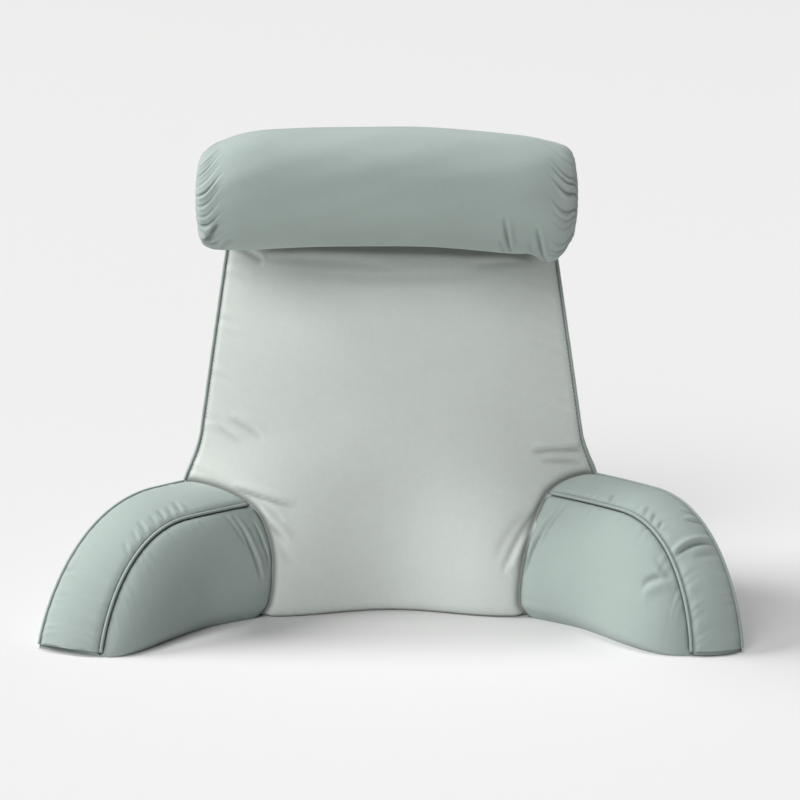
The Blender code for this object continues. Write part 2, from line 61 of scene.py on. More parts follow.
# %% Tools of the lesson
from collections import namedtuple
from math import cos, pi, radians, sin, tan

import bpy
import numpy as np

# %% [markdown]
# ## Grids turned into meshes
#
# Cloth could be sculpted by hand or pulled over a shape by a simulation. Here each piece is a grid of
# points worked out by a formula. A grid makes clean four-sided faces that shade softly, and it carries a
# flat map in metres, which the weave follows as it does on real cloth.

# %% Grid helpers


def smooth(start, end, value):
    """Zero up to start, one from end, and a soft S between: 3 s squared minus 2 s cubed."""
    share = np.clip((value - start) / (end - start), 0.0, 1.0)
    return share * share * (3.0 - 2.0 * share)


def unit(vectors):
    """The same directions, each one long."""
    return vectors / np.maximum(np.linalg.norm(vectors, axis=-1, keepdims=True), 1e-12)


def closed_up(grid):
    """The grid with its first column once more at its end."""
    return np.concatenate([grid, grid[:, :1]], axis=1)


def numbered(points, first=0, closed=False):
    """Vertex numbers of a grid of points, closed up or not."""
    rows, columns = points.shape[:2]
    numbers = first + np.arange(rows * columns).reshape(rows, columns)
    return closed_up(numbers) if closed else numbers


def corners(grid):
    """The four corners of each cell of a grid: here, right, up and right, up."""
    cells = [grid[:-1, :-1], grid[:-1, 1:], grid[1:, 1:], grid[1:, :-1]]
    return np.stack(cells, axis=2).reshape(-1, 4, *grid.shape[2:])


def grid_normals(points, closed=False):
    """Unit normals of a grid: the cross product of its two directions, columns first."""
    if closed:
        wrapped = np.concatenate([points[:, -1:], points, points[:, :1]], axis=1)
        across = (wrapped[:, 2:] - wrapped[:, :-2]) / 2.0
    else:
        across = np.gradient(points, axis=1)
    return unit(np.cross(across, np.gradient(points, axis=0)))


def distance_along(points, axis):
    """Length walked over a grid from its first line, in metres, along one axis."""
    steps = np.linalg.norm(np.diff(points, axis=axis), axis=2)
    start = np.zeros_like(np.take(steps, [0], axis=axis))
    return np.cumsum(np.concatenate([start, steps], axis=axis), axis=axis)


def make_piece(name, points, faces, maps, seam=None, mirrored=False):
    """A mesh of points and faces with its flat map in metres, one pair for each face corner.

    Seam is how dark the cloth is painted at each point, from 0 to 1: darker seam lines, partly joints and
    partly painted shade, and painted shade in folds, under the roll and on the piping. No point lies below
    the floor. A mirrored grid winds the other way, so its faces and maps are turned round."""
    if mirrored:
        faces = [face[::-1] for face in faces]
        maps = [part[:, ::-1] if part.ndim == 3 else part[::-1] for part in maps]
    mesh = bpy.data.meshes.new(name)
    points = np.array(points, dtype=float).reshape(-1, 3)
    points[:, 2] = np.maximum(points[:, 2], 0.0)
    mesh.from_pydata(points.tolist(), [], [face.tolist() for face in faces])
    layer = mesh.uv_layers.new(name="cloth")
    layer.data.foreach_set("uv", np.concatenate([m.reshape(-1, 2) for m in maps]).astype(np.float32).ravel())
    # The seam attribute holds painted darkness: partly darker seam lines, partly painted shade.
    painted_darkness = mesh.attributes.new("seam", "FLOAT", "POINT")
    values = np.zeros(len(mesh.vertices)) if seam is None else seam.ravel()
    painted_darkness.data.foreach_set("value", values.astype(np.float32))
    mesh.shade_smooth()
    piece = bpy.data.objects.new(name, mesh)
    bpy.context.scene.collection.objects.link(piece)
    return piece


SHEET_THICKNESS = 0.0016


def lined(piece):
    """Gives a sheet its thickness, inwards from the side that shows."""
    solid = piece.modifiers.new("Cloth", "SOLIDIFY")
    solid.thickness = SHEET_THICKNESS
    solid.offset = -1.0
    return piece


# %% [markdown]
# ## Creases
#
# Stuffed cloth pulls into short folds where a seam holds it. A simulation could find some, but not the
# ones that this pillow has. So each is placed on the flat map of its cloth: a narrow dip with a
# softer ridge beside it, along a line that may bow, fading out at both ends.

# %% Crease formulas

Crease = namedtuple("Crease", "u0 v0 u1 v1 depth width ridge bow", defaults=(0.8, 0.0))
# Painted shade in folds: the most a fold's floor is darkened, and the depth at which it is darkest.
FOLD_SHADE, FOLD_FULL = 0.55, 0.0024
# Widths of the lines painted darker along seams and root lines: partly darker joints, partly painted shade in
# their grooves.
SEAM_LINE, ROOT_LINE = 0.0022, 0.0030


def creases(*rows):
    """Creases from rows: six lengths in millimetres, then the shares of ridge and bow where they differ."""
    return [Crease(*(length / 1000.0 for length in row[:6]), *row[6:]) for row in rows]


def creased(table, u, v):
    """Height of hand-placed creases over flat cloth: across each, minus a bell, plus a wider bell beside."""
    height = np.zeros_like(u)
    for c in table:
        du, dv = c.u1 - c.u0, c.v1 - c.v0
        length = np.hypot(du, dv)
        along = ((u - c.u0) * du + (v - c.v0) * dv) / length ** 2
        middle = c.bow * length * 4.0 * along * (1.0 - along)
        across = (((v - c.v0) * du - (u - c.u0) * dv) / length - middle) / c.width
        fade = np.clip(4.0 * along * (1.0 - along), 0.0, 1.0) ** 0.7
        bell = -np.exp(-across ** 2) + c.ridge * np.exp(-((across - 2.0) / 1.4) ** 2)
        height = height + c.depth * fade * bell
    return height


def puckered(distance, place, pitch, depth, reach, seed):
    """Puckers of a seam: uneven ripples along it that die out with the distance from it."""
    phase = 2.0 * pi * place / pitch
    ripple = np.sin(phase + 1.7 * np.sin(0.37 * phase + seed)) + 0.6 * np.sin(0.61 * phase + 2.3 * seed)
    return depth * ripple * (distance / reach) * np.exp(1.0 - distance / reach)


def near(distance, reach):
    """One on a line and soon nothing beside it: a bell of the distance."""
    return np.exp(-(distance / reach) ** 2)


def shaded(relief):
    """Painted shade on a fold's floor: its depth over the depth that counts as full, times the fold shade."""
    return FOLD_SHADE * np.clip(-relief / FOLD_FULL, 0.0, 1.0)


def seam_and_shade(to_seam, to_root, relief):
    """Painted darkness of cloth: the most of its seam line, its root line and its folds' painted shade."""
    return np.maximum(np.maximum(near(to_seam, SEAM_LINE), near(to_root, ROOT_LINE)), shaded(relief))


# %% [markdown]
# ## The wedge
#
# The backrest is a boxed cushion: a front face, a rear face, and a long gusset between them. Its front
# leans back 14 degrees, bulges at the middle, draws back at its sides higher up, and swells again where
# the arms are sewn on. These are the same sizes as in the solid, so the cloth lies where the solid is.

# %% Sizes of the wedge

CLEARANCE = 0.0003
CLOTH = 0.003
FLOOR_EDGE = 0.012
BASE_FRONT_Y = -0.010
BACK_HEIGHT = 0.565
BACK_LEAN = radians(14.0)
BACK_BELLY = 0.015
BASE_TOE, BASE_TOE_HEIGHT = 0.010, 0.15
HALF_WIDTH_TOP, WIDTH_AT, SIDE_SLOPE = 0.211, 0.45, 0.145
ROOT_HEIGHT, ROOT_FLARE, FLARE_FROM, FLARE_TO = 0.155, 0.018, 0.120, 0.215
CORNER_RADIUS = 0.055
SIDE_CROWN, TOP_CROWN, CROWN_POWER = 0.040, 0.022, 2.4
TOP_ROLL, TOP_ROLL_LENGTH = 0.014, 0.08
FLANK_SWELL, FLANK_REACH, FLANK_EDGE, FLANK_EDGE_POWER = 0.028, 1.16, 0.030, 5.0
FLANK_FROM, FLANK_TO = 0.04, 0.24
REAR_Y, REAR_CROWN, REAR_TOP_CROWN, REAR_LEAN = 0.182, 0.030, 0.016, 0.020
GUSSET_SWELL = 0.005


# %% Faces of the wedge


def half_width(z):
    """Half the width at a height: a straight taper, plus a soft flare where the arms spring."""
    straight = HALF_WIDTH_TOP + SIDE_SLOPE * (WIDTH_AT - np.maximum(z, ROOT_HEIGHT))
    return straight + ROOT_FLARE * (1.0 - smooth(FLARE_FROM, FLARE_TO, z))


def front_y(x, z):
    """Front face: leaning plane, minus a belly, plus edges drawn back, minus swollen flanks low down."""
    share = np.abs(x) / half_width(z)
    toe = BASE_TOE * (1.0 - smooth(0.0, BASE_TOE_HEIGHT, z))
    centre = BASE_FRONT_Y - toe + z * tan(BACK_LEAN) - BACK_BELLY * np.sin(pi * z / BACK_HEIGHT)
    upper = (SIDE_CROWN + (TOP_CROWN - SIDE_CROWN) * z / BACK_HEIGHT) * share ** CROWN_POWER
    swell = np.sin(pi * np.minimum(share, 1.0) / FLANK_REACH) ** 2
    lower = FLANK_EDGE * share ** FLANK_EDGE_POWER - FLANK_SWELL * swell
    weight = smooth(FLANK_FROM, FLANK_TO, z)
    roll = np.clip((z - BACK_HEIGHT + TOP_ROLL_LENGTH) / TOP_ROLL_LENGTH, 0.0, None)
    return centre + weight * upper + (1.0 - weight) * lower + TOP_ROLL * roll ** 2


def rear_y(x, z):
    """Rear face: a slight lean, minus a crown that grows to the sides, minus the rolled top."""
    share = np.abs(x) / half_width(z)
    roll = np.clip((z - BACK_HEIGHT + TOP_ROLL_LENGTH) / TOP_ROLL_LENGTH, 0.0, None)
    rise = z / BACK_HEIGHT
    crown = REAR_CROWN + (REAR_TOP_CROWN - REAR_CROWN) * rise
    return REAR_Y + BASE_FRONT_Y + REAR_LEAN * rise - crown * share ** CROWN_POWER - TOP_ROLL * roll ** 2


def foot_inset(z):
    """How far the cloth tucks in above the floor: a quarter circle."""
    low = np.clip(1.0 - z / FLOOR_EDGE, 0.0, 1.0)
    return FLOOR_EDGE * (1.0 - np.sqrt(1.0 - low * low))


def outline_grid(columns, rows):
    """Places x and z of a grid over the wedge seen from the front, its two top corners rounded.

    Shares s across and t up are squeezed near a corner, each by the square root of one minus half the
    other's square, which turns a square corner into a round one."""
    s = np.linspace(-1.0, 1.0, columns + 1)[None, :]
    feet = FLOOR_EDGE * (1.0 - np.cos(np.linspace(0.0, pi / 2.0, 7)))
    even = np.linspace(FLOOR_EDGE, BACK_HEIGHT, rows - 6 + 1)[1:]
    t = (np.concatenate([feet, even]) / BACK_HEIGHT)[:, None]
    s, t = np.broadcast_arrays(s, t)
    side = 1.0 - CORNER_RADIUS / HALF_WIDTH_TOP
    top = 1.0 - CORNER_RADIUS / BACK_HEIGHT
    a = np.clip((np.abs(s) - side) / (1.0 - side), 0.0, 1.0)
    b = np.clip((t - top) / (1.0 - top), 0.0, 1.0)
    share = np.where(np.abs(s) > side, side + (1.0 - side) * a * np.sqrt(1.0 - b * b / 2.0), np.abs(s))
    rise = np.where(t > top, top + (1.0 - top) * b * np.sqrt(1.0 - a * a / 2.0), t)
    z = rise * BACK_HEIGHT
    return np.sign(s) * share * half_width(z), z


def rim(grid):
    """Values round the edge of a grid: along its foot, up the right, back over the top, down the left."""
    return np.concatenate([grid[0, :-1], grid[:-1, -1], grid[-1, :0:-1], grid[:0:-1, 0]])


# %% [markdown]
# ## The backrest cushion
#
# It is one closed form. The front face hides a few millimetres behind the panel, clear of its dents, so
# what shows is the gusset, the rear and the seams between them. The gusset swells a little between its
# two seams, and the cloth ripples beside each seam, because the thread draws it up.

# %% Edge of the wedge

BACK_COLUMNS, BACK_ROWS, GUSSET_ROWS = 96, 108, 22
FACE_SUNK = 0.006
SEAM_DIP, SEAM_REACH = 0.0022, 0.006

x, z = outline_grid(BACK_COLUMNS, BACK_ROWS)
outline = np.stack([rim(x), rim(z)], axis=1)
outline = outline[outline[:, 1] > 0.0]


def edge_distance(x, z):
    """Distance of each place from the wedge's side and top edges, seen from the front."""
    return np.min(np.hypot(x[..., None] - outline[:, 0], z[..., None] - outline[:, 1]), axis=-1)


print("points on the wedge's side and top edges:", len(outline))

# %% Front and rear of the backrest cushion

inset = foot_inset(z)
tucked = x * (1.0 - inset / half_width(z))
rear_from_edge = edge_distance(x, z)
hidden = FACE_SUNK * smooth(0.004, 0.018, rear_from_edge) * smooth(0.004, 0.020, z)
back_front = np.stack([tucked, front_y(x, z) + inset + hidden, z], axis=2)
back_rear = np.stack([tucked, rear_y(x, z) - inset, z], axis=2)
rear_ripple = puckered(rear_from_edge, x + 1.3 * z, pitch=0.021, depth=0.0007, reach=0.012, seed=0.8)
rear_dip = SEAM_DIP * np.exp(-rear_from_edge / SEAM_REACH)
back_rear[..., 1] += np.where(z > FLOOR_EDGE, rear_ripple - rear_dip, 0.0)

# %% Gusset of the backrest cushion

front_rim, rear_rim = rim(back_front), rim(back_rear)
ahead = np.roll(front_rim, -1, axis=0) - np.roll(front_rim, 1, axis=0)
rim_outward = unit(np.stack([ahead[:, 2], np.zeros(len(front_rim)), -ahead[:, 0]], axis=1))
rim_outward[front_rim[:, 2] < 0.0001] = 0.0

share = np.linspace(0.0, 1.0, GUSSET_ROWS + 1)[1:-1, None, None]
gusset_width = np.linalg.norm(rear_rim - front_rim, axis=1)[None, :]
from_seam = np.minimum(share[..., 0], 1.0 - share[..., 0]) * gusset_width
rim_place = np.cumsum(np.linalg.norm(ahead, axis=1) / 2.0)[None, :]
swell = GUSSET_SWELL * np.sin(pi * share[..., 0]) - SEAM_DIP * np.exp(-from_seam / SEAM_REACH)
swell = swell + puckered(from_seam, rim_place, pitch=0.024, depth=0.0008, reach=0.012, seed=2.1)
gusset = (1.0 - share) * front_rim + share * rear_rim + swell[..., None] * rim_outward
print("gusset, in metres:", round(gusset_width.min(), 3), "to", round(gusset_width.max(), 3), "wide")

# %% Backrest cushion

count = back_front.shape[0] * back_front.shape[1]
front_numbers = numbered(back_front)
rear_numbers = numbered(back_rear, first=count)
ring_numbers = numbered(gusset, first=2 * count)
rings = closed_up(np.concatenate([rim(front_numbers)[None], ring_numbers, rim(rear_numbers)[None]]))
closed_width = np.append(gusset_width, gusset_width[0, 0])[None, :]
map_rows = np.linspace(0.0, 1.0, GUSSET_ROWS + 1)[:, None] * closed_width
map_along = np.append(rim_place, rim_place[0, -1] + 0.004)[None, :] * np.ones_like(map_rows)
face_map = corners(np.stack([x, z], axis=2))
backrest_cushion = make_piece(
    "backrest_cushion",
    np.concatenate([back_front.reshape(-1, 3), back_rear.reshape(-1, 3), gusset.reshape(-1, 3)]),
    np.concatenate([corners(front_numbers), corners(rear_numbers)[:, ::-1], corners(rings)[:, ::-1]]),
    [face_map, face_map[:, ::-1], corners(np.stack([map_along, map_rows], axis=2))[:, ::-1]],
    # Painted darkness: none on the front face; the rear's and the gusset's seam lines, partly darker joints,
    # partly painted shade in their grooves.
    np.concatenate([
        np.zeros(count),
        near(rear_from_edge, SEAM_LINE).ravel(),
        (near(from_seam, SEAM_LINE) * np.ones_like(rim_place)).ravel(),
    ]),
)
print("backrest cushion:", len(backrest_cushion.data.polygons), "faces")

# %% [markdown]
# ## Piping
#
# Each outer seam has a thin cord in it, covered with the same cloth. A bevelled curve would do, but a
# profile carried along the seam keeps the flat map: a circle, turned so that it stands on the cloth's
# own normal at each point of the route.

# %% Piping along a route

CORD_SIDES, CORD_STEP, CORD_UNEVEN = 14, 0.0022, 0.035
CORD_RADIUS, CORD_STANDS, CORD_FROM, CORD_FOOT = 0.0021, 0.0010, 0.003, 0.0006


def resampled(route, step):
    """A route with even steps: each column is read off against the length walked by the first three."""
    walked = np.concatenate([[0.0], np.cumsum(np.linalg.norm(np.diff(route[:, :3], axis=0), axis=1))])
    even = np.linspace(0.0, walked[-1], int(walked[-1] / step) + 2)
    return np.stack([np.interp(even, walked, route[:, k]) for k in range(route.shape[1])], axis=1), even


def piping(name, route, outward, radius=CORD_RADIUS):
    """A closed cord along a route: centre, plus radius times (cosine outward plus sine sideways)."""
    both, walked = resampled(np.concatenate([route, outward], axis=1), CORD_STEP)
    centre, outward = both[:, :3], unit(both[:, 3:])
    tangent = unit(np.gradient(centre, axis=0))
    sideways = unit(np.cross(tangent, outward))
    outward = np.cross(sideways, tangent)
    turn = np.linspace(0.0, 2.0 * pi, CORD_SIDES, endpoint=False)[None, :, None]
    size = radius * (1.0 + CORD_UNEVEN * np.sin(walked * 900.0 + 2.0 * np.sin(walked * 170.0)))[:, None, None]
    ends = np.minimum(walked, walked[-1] - walked)
    size = size * np.sqrt(np.clip(ends / (0.8 * radius), 0.03, 1.0))[:, None, None]
    points = centre[:, None] + size * (np.cos(turn) * outward[:, None] + np.sin(turn) * sideways[:, None])
    numbers = numbered(points, closed=True)
    around = np.linspace(0.0, 2.0 * pi * radius, CORD_SIDES + 1)[None, :] * np.ones((len(walked), 1))
    flat = np.stack([around, walked[:, None] * np.ones_like(around)], axis=2)
    tips = [numbers[0, :-1], numbers[-1, :-1][::-1]]
    faces = [*corners(numbers), *tips]
    maps = [corners(flat), flat[0, :-1], flat[-1, :-1]]
    # Painted shade: the cord is darkest on its side against the cloth and not darkened on its outer side.
    seam = np.repeat((0.35 - 0.35 * np.cos(turn[..., 0])), len(walked), axis=0)
    return make_piece(name, points, faces, maps, seam)


PANEL_PIPING_FROM = 0.150
rim_normals = rim(grid_normals(back_front))
gusset_normals = unit(np.cross(gusset[0] - front_rim, ahead))
rim_way = unit(rim_normals + gusset_normals)
rim_route = front_rim + 2.0 * CORD_STANDS * rim_way
above = rim_route[:, 2] > PANEL_PIPING_FROM
panel_cord = piping("front_panel_cord", rim_route[above], rim_way[above])
print("panel piping:", len(panel_cord.data.polygons), "faces")

# %% [markdown]
# ## The arms
#
# Each arm is a filled tube whose section changes along it: an outer side, a band over the top, an inner
# side, and a sole. Two seams run from the backrest forwards and down to the floor, and their routes give
# the section at every place. Place 0 to 1 round the section is the outer side from the floor up, 1 to 2
# the band, 2 to 3 the inner side down, 3 to 4 the sole.

# %% Sizes of the arms

Rise = namedtuple("Rise", "height level_until power drop")
Side = namedtuple("Side", "swell power drop")
Arm = namedtuple("Arm", (
    "name", "side", "outer_bend", "outer_foot", "inner_root", "inner_bend", "inner_foot",
    "outer_rise", "inner_rise", "root_side", "inner_side",
))
OUTER_ROOT = (0.264, 0.055)
LEFT_ARM = Arm(
    name="arm_left", side=-1.0,
    outer_bend=(0.375, -0.045), outer_foot=(0.425, -0.146),
    inner_root=(0.184, 0.010), inner_bend=(0.300, -0.075), inner_foot=(0.346, -0.174),
    outer_rise=Rise(height=0.154, level_until=0.20, power=1.90, drop=0.80),
    inner_rise=Rise(height=0.135, level_until=0.35, power=1.90, drop=0.75),
    root_side=Side(swell=0.064, power=2.2, drop=0.85),
    inner_side=Side(swell=0.046, power=2.6, drop=0.56),
)
RIGHT_ARM = Arm(
    name="arm_right", side=1.0,
    outer_bend=(0.375, -0.045), outer_foot=(0.423, -0.156),
    inner_root=(0.206, 0.020), inner_bend=(0.318, -0.070), inner_foot=(0.360, -0.170),
    outer_rise=Rise(height=0.163, level_until=0.35, power=2.00, drop=0.68),
    inner_rise=Rise(height=0.147, level_until=0.40, power=2.10, drop=0.62),
    root_side=Side(swell=0.080, power=1.8, drop=0.95),
    inner_side=Side(swell=0.062, power=2.2, drop=0.60),
)
OUTER_SIDE = Side(swell=0.020, power=2.6, drop=0.56)
ROOT_SIDE_UNTIL, OUTER_SIDE_FROM = 0.45, 0.35
CLOSING_FROM, CLOSING_POWER, CLOSING_DROP = 0.5, 3.0, 0.45
BAND_CROWN = 0.006
ARM_TUCK, TUCK_SHARE, TUCK_FULL_HEIGHT = 0.010, 0.14, 0.10
ARM_TOE, ARM_BURIED = 0.004, 0.045
ROOT_WITHIN, HALVINGS = 0.45, 40


# %% Section of an arm


def seam_height(rise, t):
    """A seam's height: level, then its height times (1 minus share to a power) to a power, to the floor."""
    share = np.clip((t - rise.level_until) / (1.0 - rise.level_until), 0.0, 1.0)
    return np.maximum(rise.height * np.clip(1.0 - share ** rise.power, 0.0, 1.0) ** rise.drop, ARM_TOE)


def seam_plan(root, bend, foot, t):
    """A seam's course seen from above: a quadratic curve through its bend, run on straight behind t = 0."""
    root, bend, foot = (np.array(point) for point in (root, bend, foot))
    inside = np.clip(-t, 0.0, None)[..., None]
    t = np.clip(t, 0.0, 1.0)[..., None]
    course = (1.0 - t) ** 2 * root + 2.0 * t * (1.0 - t) * bend + t ** 2 * foot
    return course + inside * unit(root - bend)


def side_profile(form, share):
    """How far a filled side stands out between the floor (0) and its seam (1)."""
    return form.swell * np.clip(1.0 - share ** form.power, 0.0, 1.0) ** form.drop


def arm_point(arm, t, place):
    """A point of the arm's skin at a share t along it and a place 0 to 4 round its section."""
    outer = seam_plan(OUTER_ROOT, arm.outer_bend, arm.outer_foot, t)
    inner = seam_plan(arm.inner_root, arm.inner_bend, arm.inner_foot, t)
    outer_z, inner_z = seam_height(arm.outer_rise, t), seam_height(arm.inner_rise, t)
    towards = unit(inner - outer)
    late = np.clip((t - CLOSING_FROM) / (1.0 - CLOSING_FROM), 0.0, 1.0)
    closing = (1.0 - late ** CLOSING_POWER) ** CLOSING_DROP
    rooted = 1.0 - smooth(0.0, ROOT_SIDE_UNTIL, t)

    def side_point(seam, seam_z, way, share, out):
        """A filled side: from the seam's plan, out by its profile less the tuck, at a share of its height."""
        tuck = ARM_TUCK * np.clip(1.0 - share / TUCK_SHARE, 0.0, 1.0) ** 2
        stand = out - tuck * np.minimum(seam_z / TUCK_FULL_HEIGHT, 1.0)
        return np.concatenate([seam + stand[..., None] * way, (seam_z * share)[..., None]], axis=-1)

    def inner_out(share):
        """The inner side's profile: the root's fades into the arm's own, and both close at the toe."""
        root, own = side_profile(arm.root_side, share), side_profile(arm.inner_side, share)
        return closing * (rooted * root + (1.0 - rooted) * own)

    def outer_out(share):
        """The outer side's profile, growing from the root and closing at the toe."""
        return smooth(0.0, OUTER_SIDE_FROM, t) * (1.0 - late ** 2) * side_profile(OUTER_SIDE, share)

    up = np.clip(place, 0.0, 1.0)
    over = np.clip(place - 1.0, 0.0, 1.0)
    down = np.clip(3.0 - place, 0.0, 1.0)
    under = np.clip(place - 3.0, 0.0, 1.0)[..., None]
    outer_side = side_point(outer, outer_z, -towards, up, outer_out(up))
    inner_side = side_point(inner, inner_z, towards, down, inner_out(down))
    outer_seam = np.concatenate([outer, outer_z[..., None]], axis=-1)
    inner_seam = np.concatenate([inner, inner_z[..., None]], axis=-1)
    band = outer_seam * (1.0 - over[..., None]) + inner_seam * over[..., None]
    crown = BAND_CROWN * 4.0 * over * (1.0 - over)
    ground = np.zeros_like(t)
    inner_foot = side_point(inner, inner_z, towards, ground, inner_out(ground))
    outer_foot = side_point(outer, outer_z, -towards, ground, outer_out(ground))
    sole = inner_foot * (1.0 - under) + outer_foot * under
    point = np.where((place <= 1.0)[..., None], outer_side, band)
    point = np.where((place >= 2.0)[..., None], inner_side, point)
    point = np.where((place > 3.0)[..., None], sole, point)
    return point, crown


def arm_skin(arm, t, place):
    """The skin in the pillow's own frame, its band raised by the crown along its normal."""
    point, crown = arm_point(arm, t, place)
    step, middle = 0.004, np.full_like(t, 1.5)
    ahead = arm_point(arm, t + step, middle)[0] - arm_point(arm, t - step, middle)[0]
    across = arm_point(arm, t, np.full_like(t, 2.0))[0] - arm_point(arm, t, np.full_like(t, 1.0))[0]
    point = point + crown[..., None] * unit(np.cross(across, ahead))
    return point * np.array([arm.side, 1.0, 1.0]) + np.array([0.0, BASE_FRONT_Y, 0.0])


def depth_in_wedge(points, grow):
    """Negative inside the wedge and its panel, grown by a distance, and positive outside."""
    x, y, z = points[..., 0], points[..., 1], points[..., 2]
    width = half_width(z)
    before = front_y(np.clip(x, -width, width), z) - grow - y
    beside = np.abs(x) - width - 0.5 * GUSSET_SWELL - grow * 0.1
    return np.maximum(before, beside)


def root_line(arm, place, grow):
    """The share t at which the skin leaves the wedge, at each place round it, found by halving."""
    inside, outside = np.full_like(place, -ARM_BURIED), np.full_like(place, ROOT_WITHIN)
    for _ in range(HALVINGS):
        middle = (inside + outside) / 2.0
        within = depth_in_wedge(arm_skin(arm, middle, place), grow) < 0.0
        inside, outside = np.where(within, middle, inside), np.where(within, outside, middle)
    return (inside + outside) / 2.0


# %% [markdown]
# ## Arm cushions
#
# The skin starts on the line where it meets the backrest, so no part of it is hidden inside. Beside that
# line and beside the two seams the cloth dips and ripples, and a few deep folds are placed on the flat
# map: metres from the root, and metres down from the inner seam.

# %% Places and folds of the arm cushions

ARM_ROWS, ROW_CROWDING, TOE_CROWDING = 240, 0.5, 1.25
GROOVE_DEPTH, GROOVE_REACH = 0.0034, 0.0042
ROOT_PINCH, ROOT_REACH = 0.0036, 0.009
SIDE_SHARES = 0.5 - 0.5 * np.cos(np.linspace(0.0, pi, 45))
BAND_SHARES = np.linspace(0.0, 1.0, 25)
SOLE_SHARES = np.linspace(0.0, 1.0, 13)
SECTION = np.concatenate([
    SIDE_SHARES, 1.0 + BAND_SHARES[1:], 2.0 + SIDE_SHARES[1:], 3.0 + SOLE_SHARES[1:-1],
])
OUTER_SEAM = len(SIDE_SHARES) - 1
INNER_SEAM = OUTER_SEAM + len(BAND_SHARES) - 1
LEFT_FOLDS = creases(
    (37, 12, 15, 104, 2.4, 2.4, 0.8, -0.04),
    (14, 26, 3, 92, 2, 2.2, 0.8, -0.03),
    (47, 14, 34, 60, 1, 3, 0.7, -0.03),
)
RIGHT_FOLDS = creases(
    (32, 20, 6, 112, 2.4, 2.4, 0.8, 0.04),
    (40, 12, 22, 70, 1.2, 2.8, 0.8, 0.03),
    (192, 52, 238, 9, 2.2, 2.8, 1, -0.05),
    (198, 19, 234, 9, 1.2, 2.4, 0.8, 0.06),
)
print("places round an arm:", len(SECTION))

# %% Arm cushion

Skin = namedtuple("Skin", "points normals walked")


def arm_grid(arm, place, rows, grow):
    """Rows from the root line to the toe, closer at both ends: the share minus a part of its sine."""
    start = root_line(arm, place, grow)[None, :]
    even = np.linspace(0.0, 1.0, rows)[:, None]
    even = even - ROW_CROWDING * np.sin(2.0 * pi * even) / (2.0 * pi)
    t = start + (1.0 - start) * (1.0 - (1.0 - even) ** TOE_CROWDING)
    return arm_skin(arm, t, np.broadcast_to(place[None, :], t.shape).copy())


def arm_cushion(arm, folds):
    """The filled cushion: its skin, minus dips at root and seams, plus ripples and folds. Gives both."""
    skin = arm_grid(arm, SECTION, ARM_ROWS, CLOTH + CLEARANCE)
    normals = grid_normals(skin, closed=True) * arm.side
    walked, around = distance_along(skin, 0), distance_along(skin, 1)
    from_outer = around - around[:, OUTER_SEAM:OUTER_SEAM + 1]
    down = around - around[:, INNER_SEAM:INNER_SEAM + 1]
    to_seam = np.minimum(np.abs(from_outer), np.abs(down))
    to_toe = walked[-1:] - walked
    on_side = ((SECTION < 1.0) | (SECTION > 2.0)) & (SECTION <= 3.0)
    on_inner = (SECTION >= 2.0) & (SECTION <= 3.0)
    seam_ripple = puckered(to_seam, walked, pitch=0.017, depth=0.00035, reach=0.007, seed=1.1 + arm.side)
    root_ripple = puckered(walked, around, pitch=0.023, depth=0.0005, reach=0.010, seed=0.4 - arm.side)
    height = -ROOT_PINCH * np.exp(-walked / ROOT_REACH)
    height = height - GROOVE_DEPTH * np.exp(-(to_seam / GROOVE_REACH) ** 1.5)
    height = height + np.where(on_side, seam_ripple * smooth(0.01, 0.06, to_toe), 0.0)
    height = height + np.where(on_side, root_ripple, 0.0)
    folded = np.where(on_inner, creased(folds, walked, down), 0.0) * smooth(0.002, 0.009, walked)
    height = (height + folded) * smooth(0.0, 0.012, skin[..., 2])
    points = skin + height[..., None] * normals
    numbers = numbered(points, closed=True)
    around_map = np.concatenate([around, around[:, -1:] + 0.01], axis=1)
    flat = np.stack([around_map, closed_up(walked)], axis=2)
    faces = [*corners(numbers), numbers[0, :-1][::-1], numbers[-1, :-1]]
    maps = [corners(flat), flat[0, :-1][::-1], flat[-1, :-1]]
    # Painted darkness: seam and root lines, partly darker joints and partly painted shade in their grooves,
    # and painted shade on the folds' floors.
    painted_darkness = seam_and_shade(to_seam, walked, folded)
    cushion = make_piece(arm.name + "_cushion", points, faces, maps, painted_darkness, mirrored=arm.side < 0.0)
    return cushion, Skin(skin, normals, walked)


# %% [markdown]
# ## Arm bands and their piping
#
# A band is a strip of cloth over the top of the arm and down its front. It could be a part of the
# cushion's mesh, but as its own sheet it keeps its edges: it follows the same skin, one cloth further
# out, with short pulls along its seams. The piping follows the skin's own two seam columns.

# %% Arm band and its piping

BAND_FROM, BAND_TO, BAND_COLUMNS = 1.02, 1.98, 37
BAND_SUNK, FOOT_STANDS, FOOT_ROWS, FOOT_SLOPE = 0.003, 0.0014, 12, 0.4
LEFT_BAND_FOLDS = creases(
    (84, 54, 98, 78, 1.7, 2.2),
    (99, 57, 112, 78, 1.2, 2),
    (113, 56, 126, 79, 1.7, 2.2),
    (128, 58, 141, 79, 1.3, 2.2),
    (144, 54, 158, 78, 1.7, 2.2),
    (160, 57, 174, 77, 1.2, 2.2),
    (180, 60, 196, 78, 1, 2.4),
    (224, 1, 231, 14, 1.6, 2.2),
)
RIGHT_BAND_FOLDS = creases(
    (225, 1, 222, 62, 3.2, 3.2, 1, 0.04),
    (238, 4, 236, 40, 1.2, 4),
    (194, 1, 186, 22, 2.1, 2.4, 0.9),
    (178, 1, 170, 19, 1.5, 2.4),
    (146, 44, 154, 64, 1.4, 2.2),
    (160, 46, 168, 62, 1.5, 2.2),
    (174, 48, 182, 61, 1.1, 2.2),
    (88, 46, 96, 62, 1.1, 2.4),
)


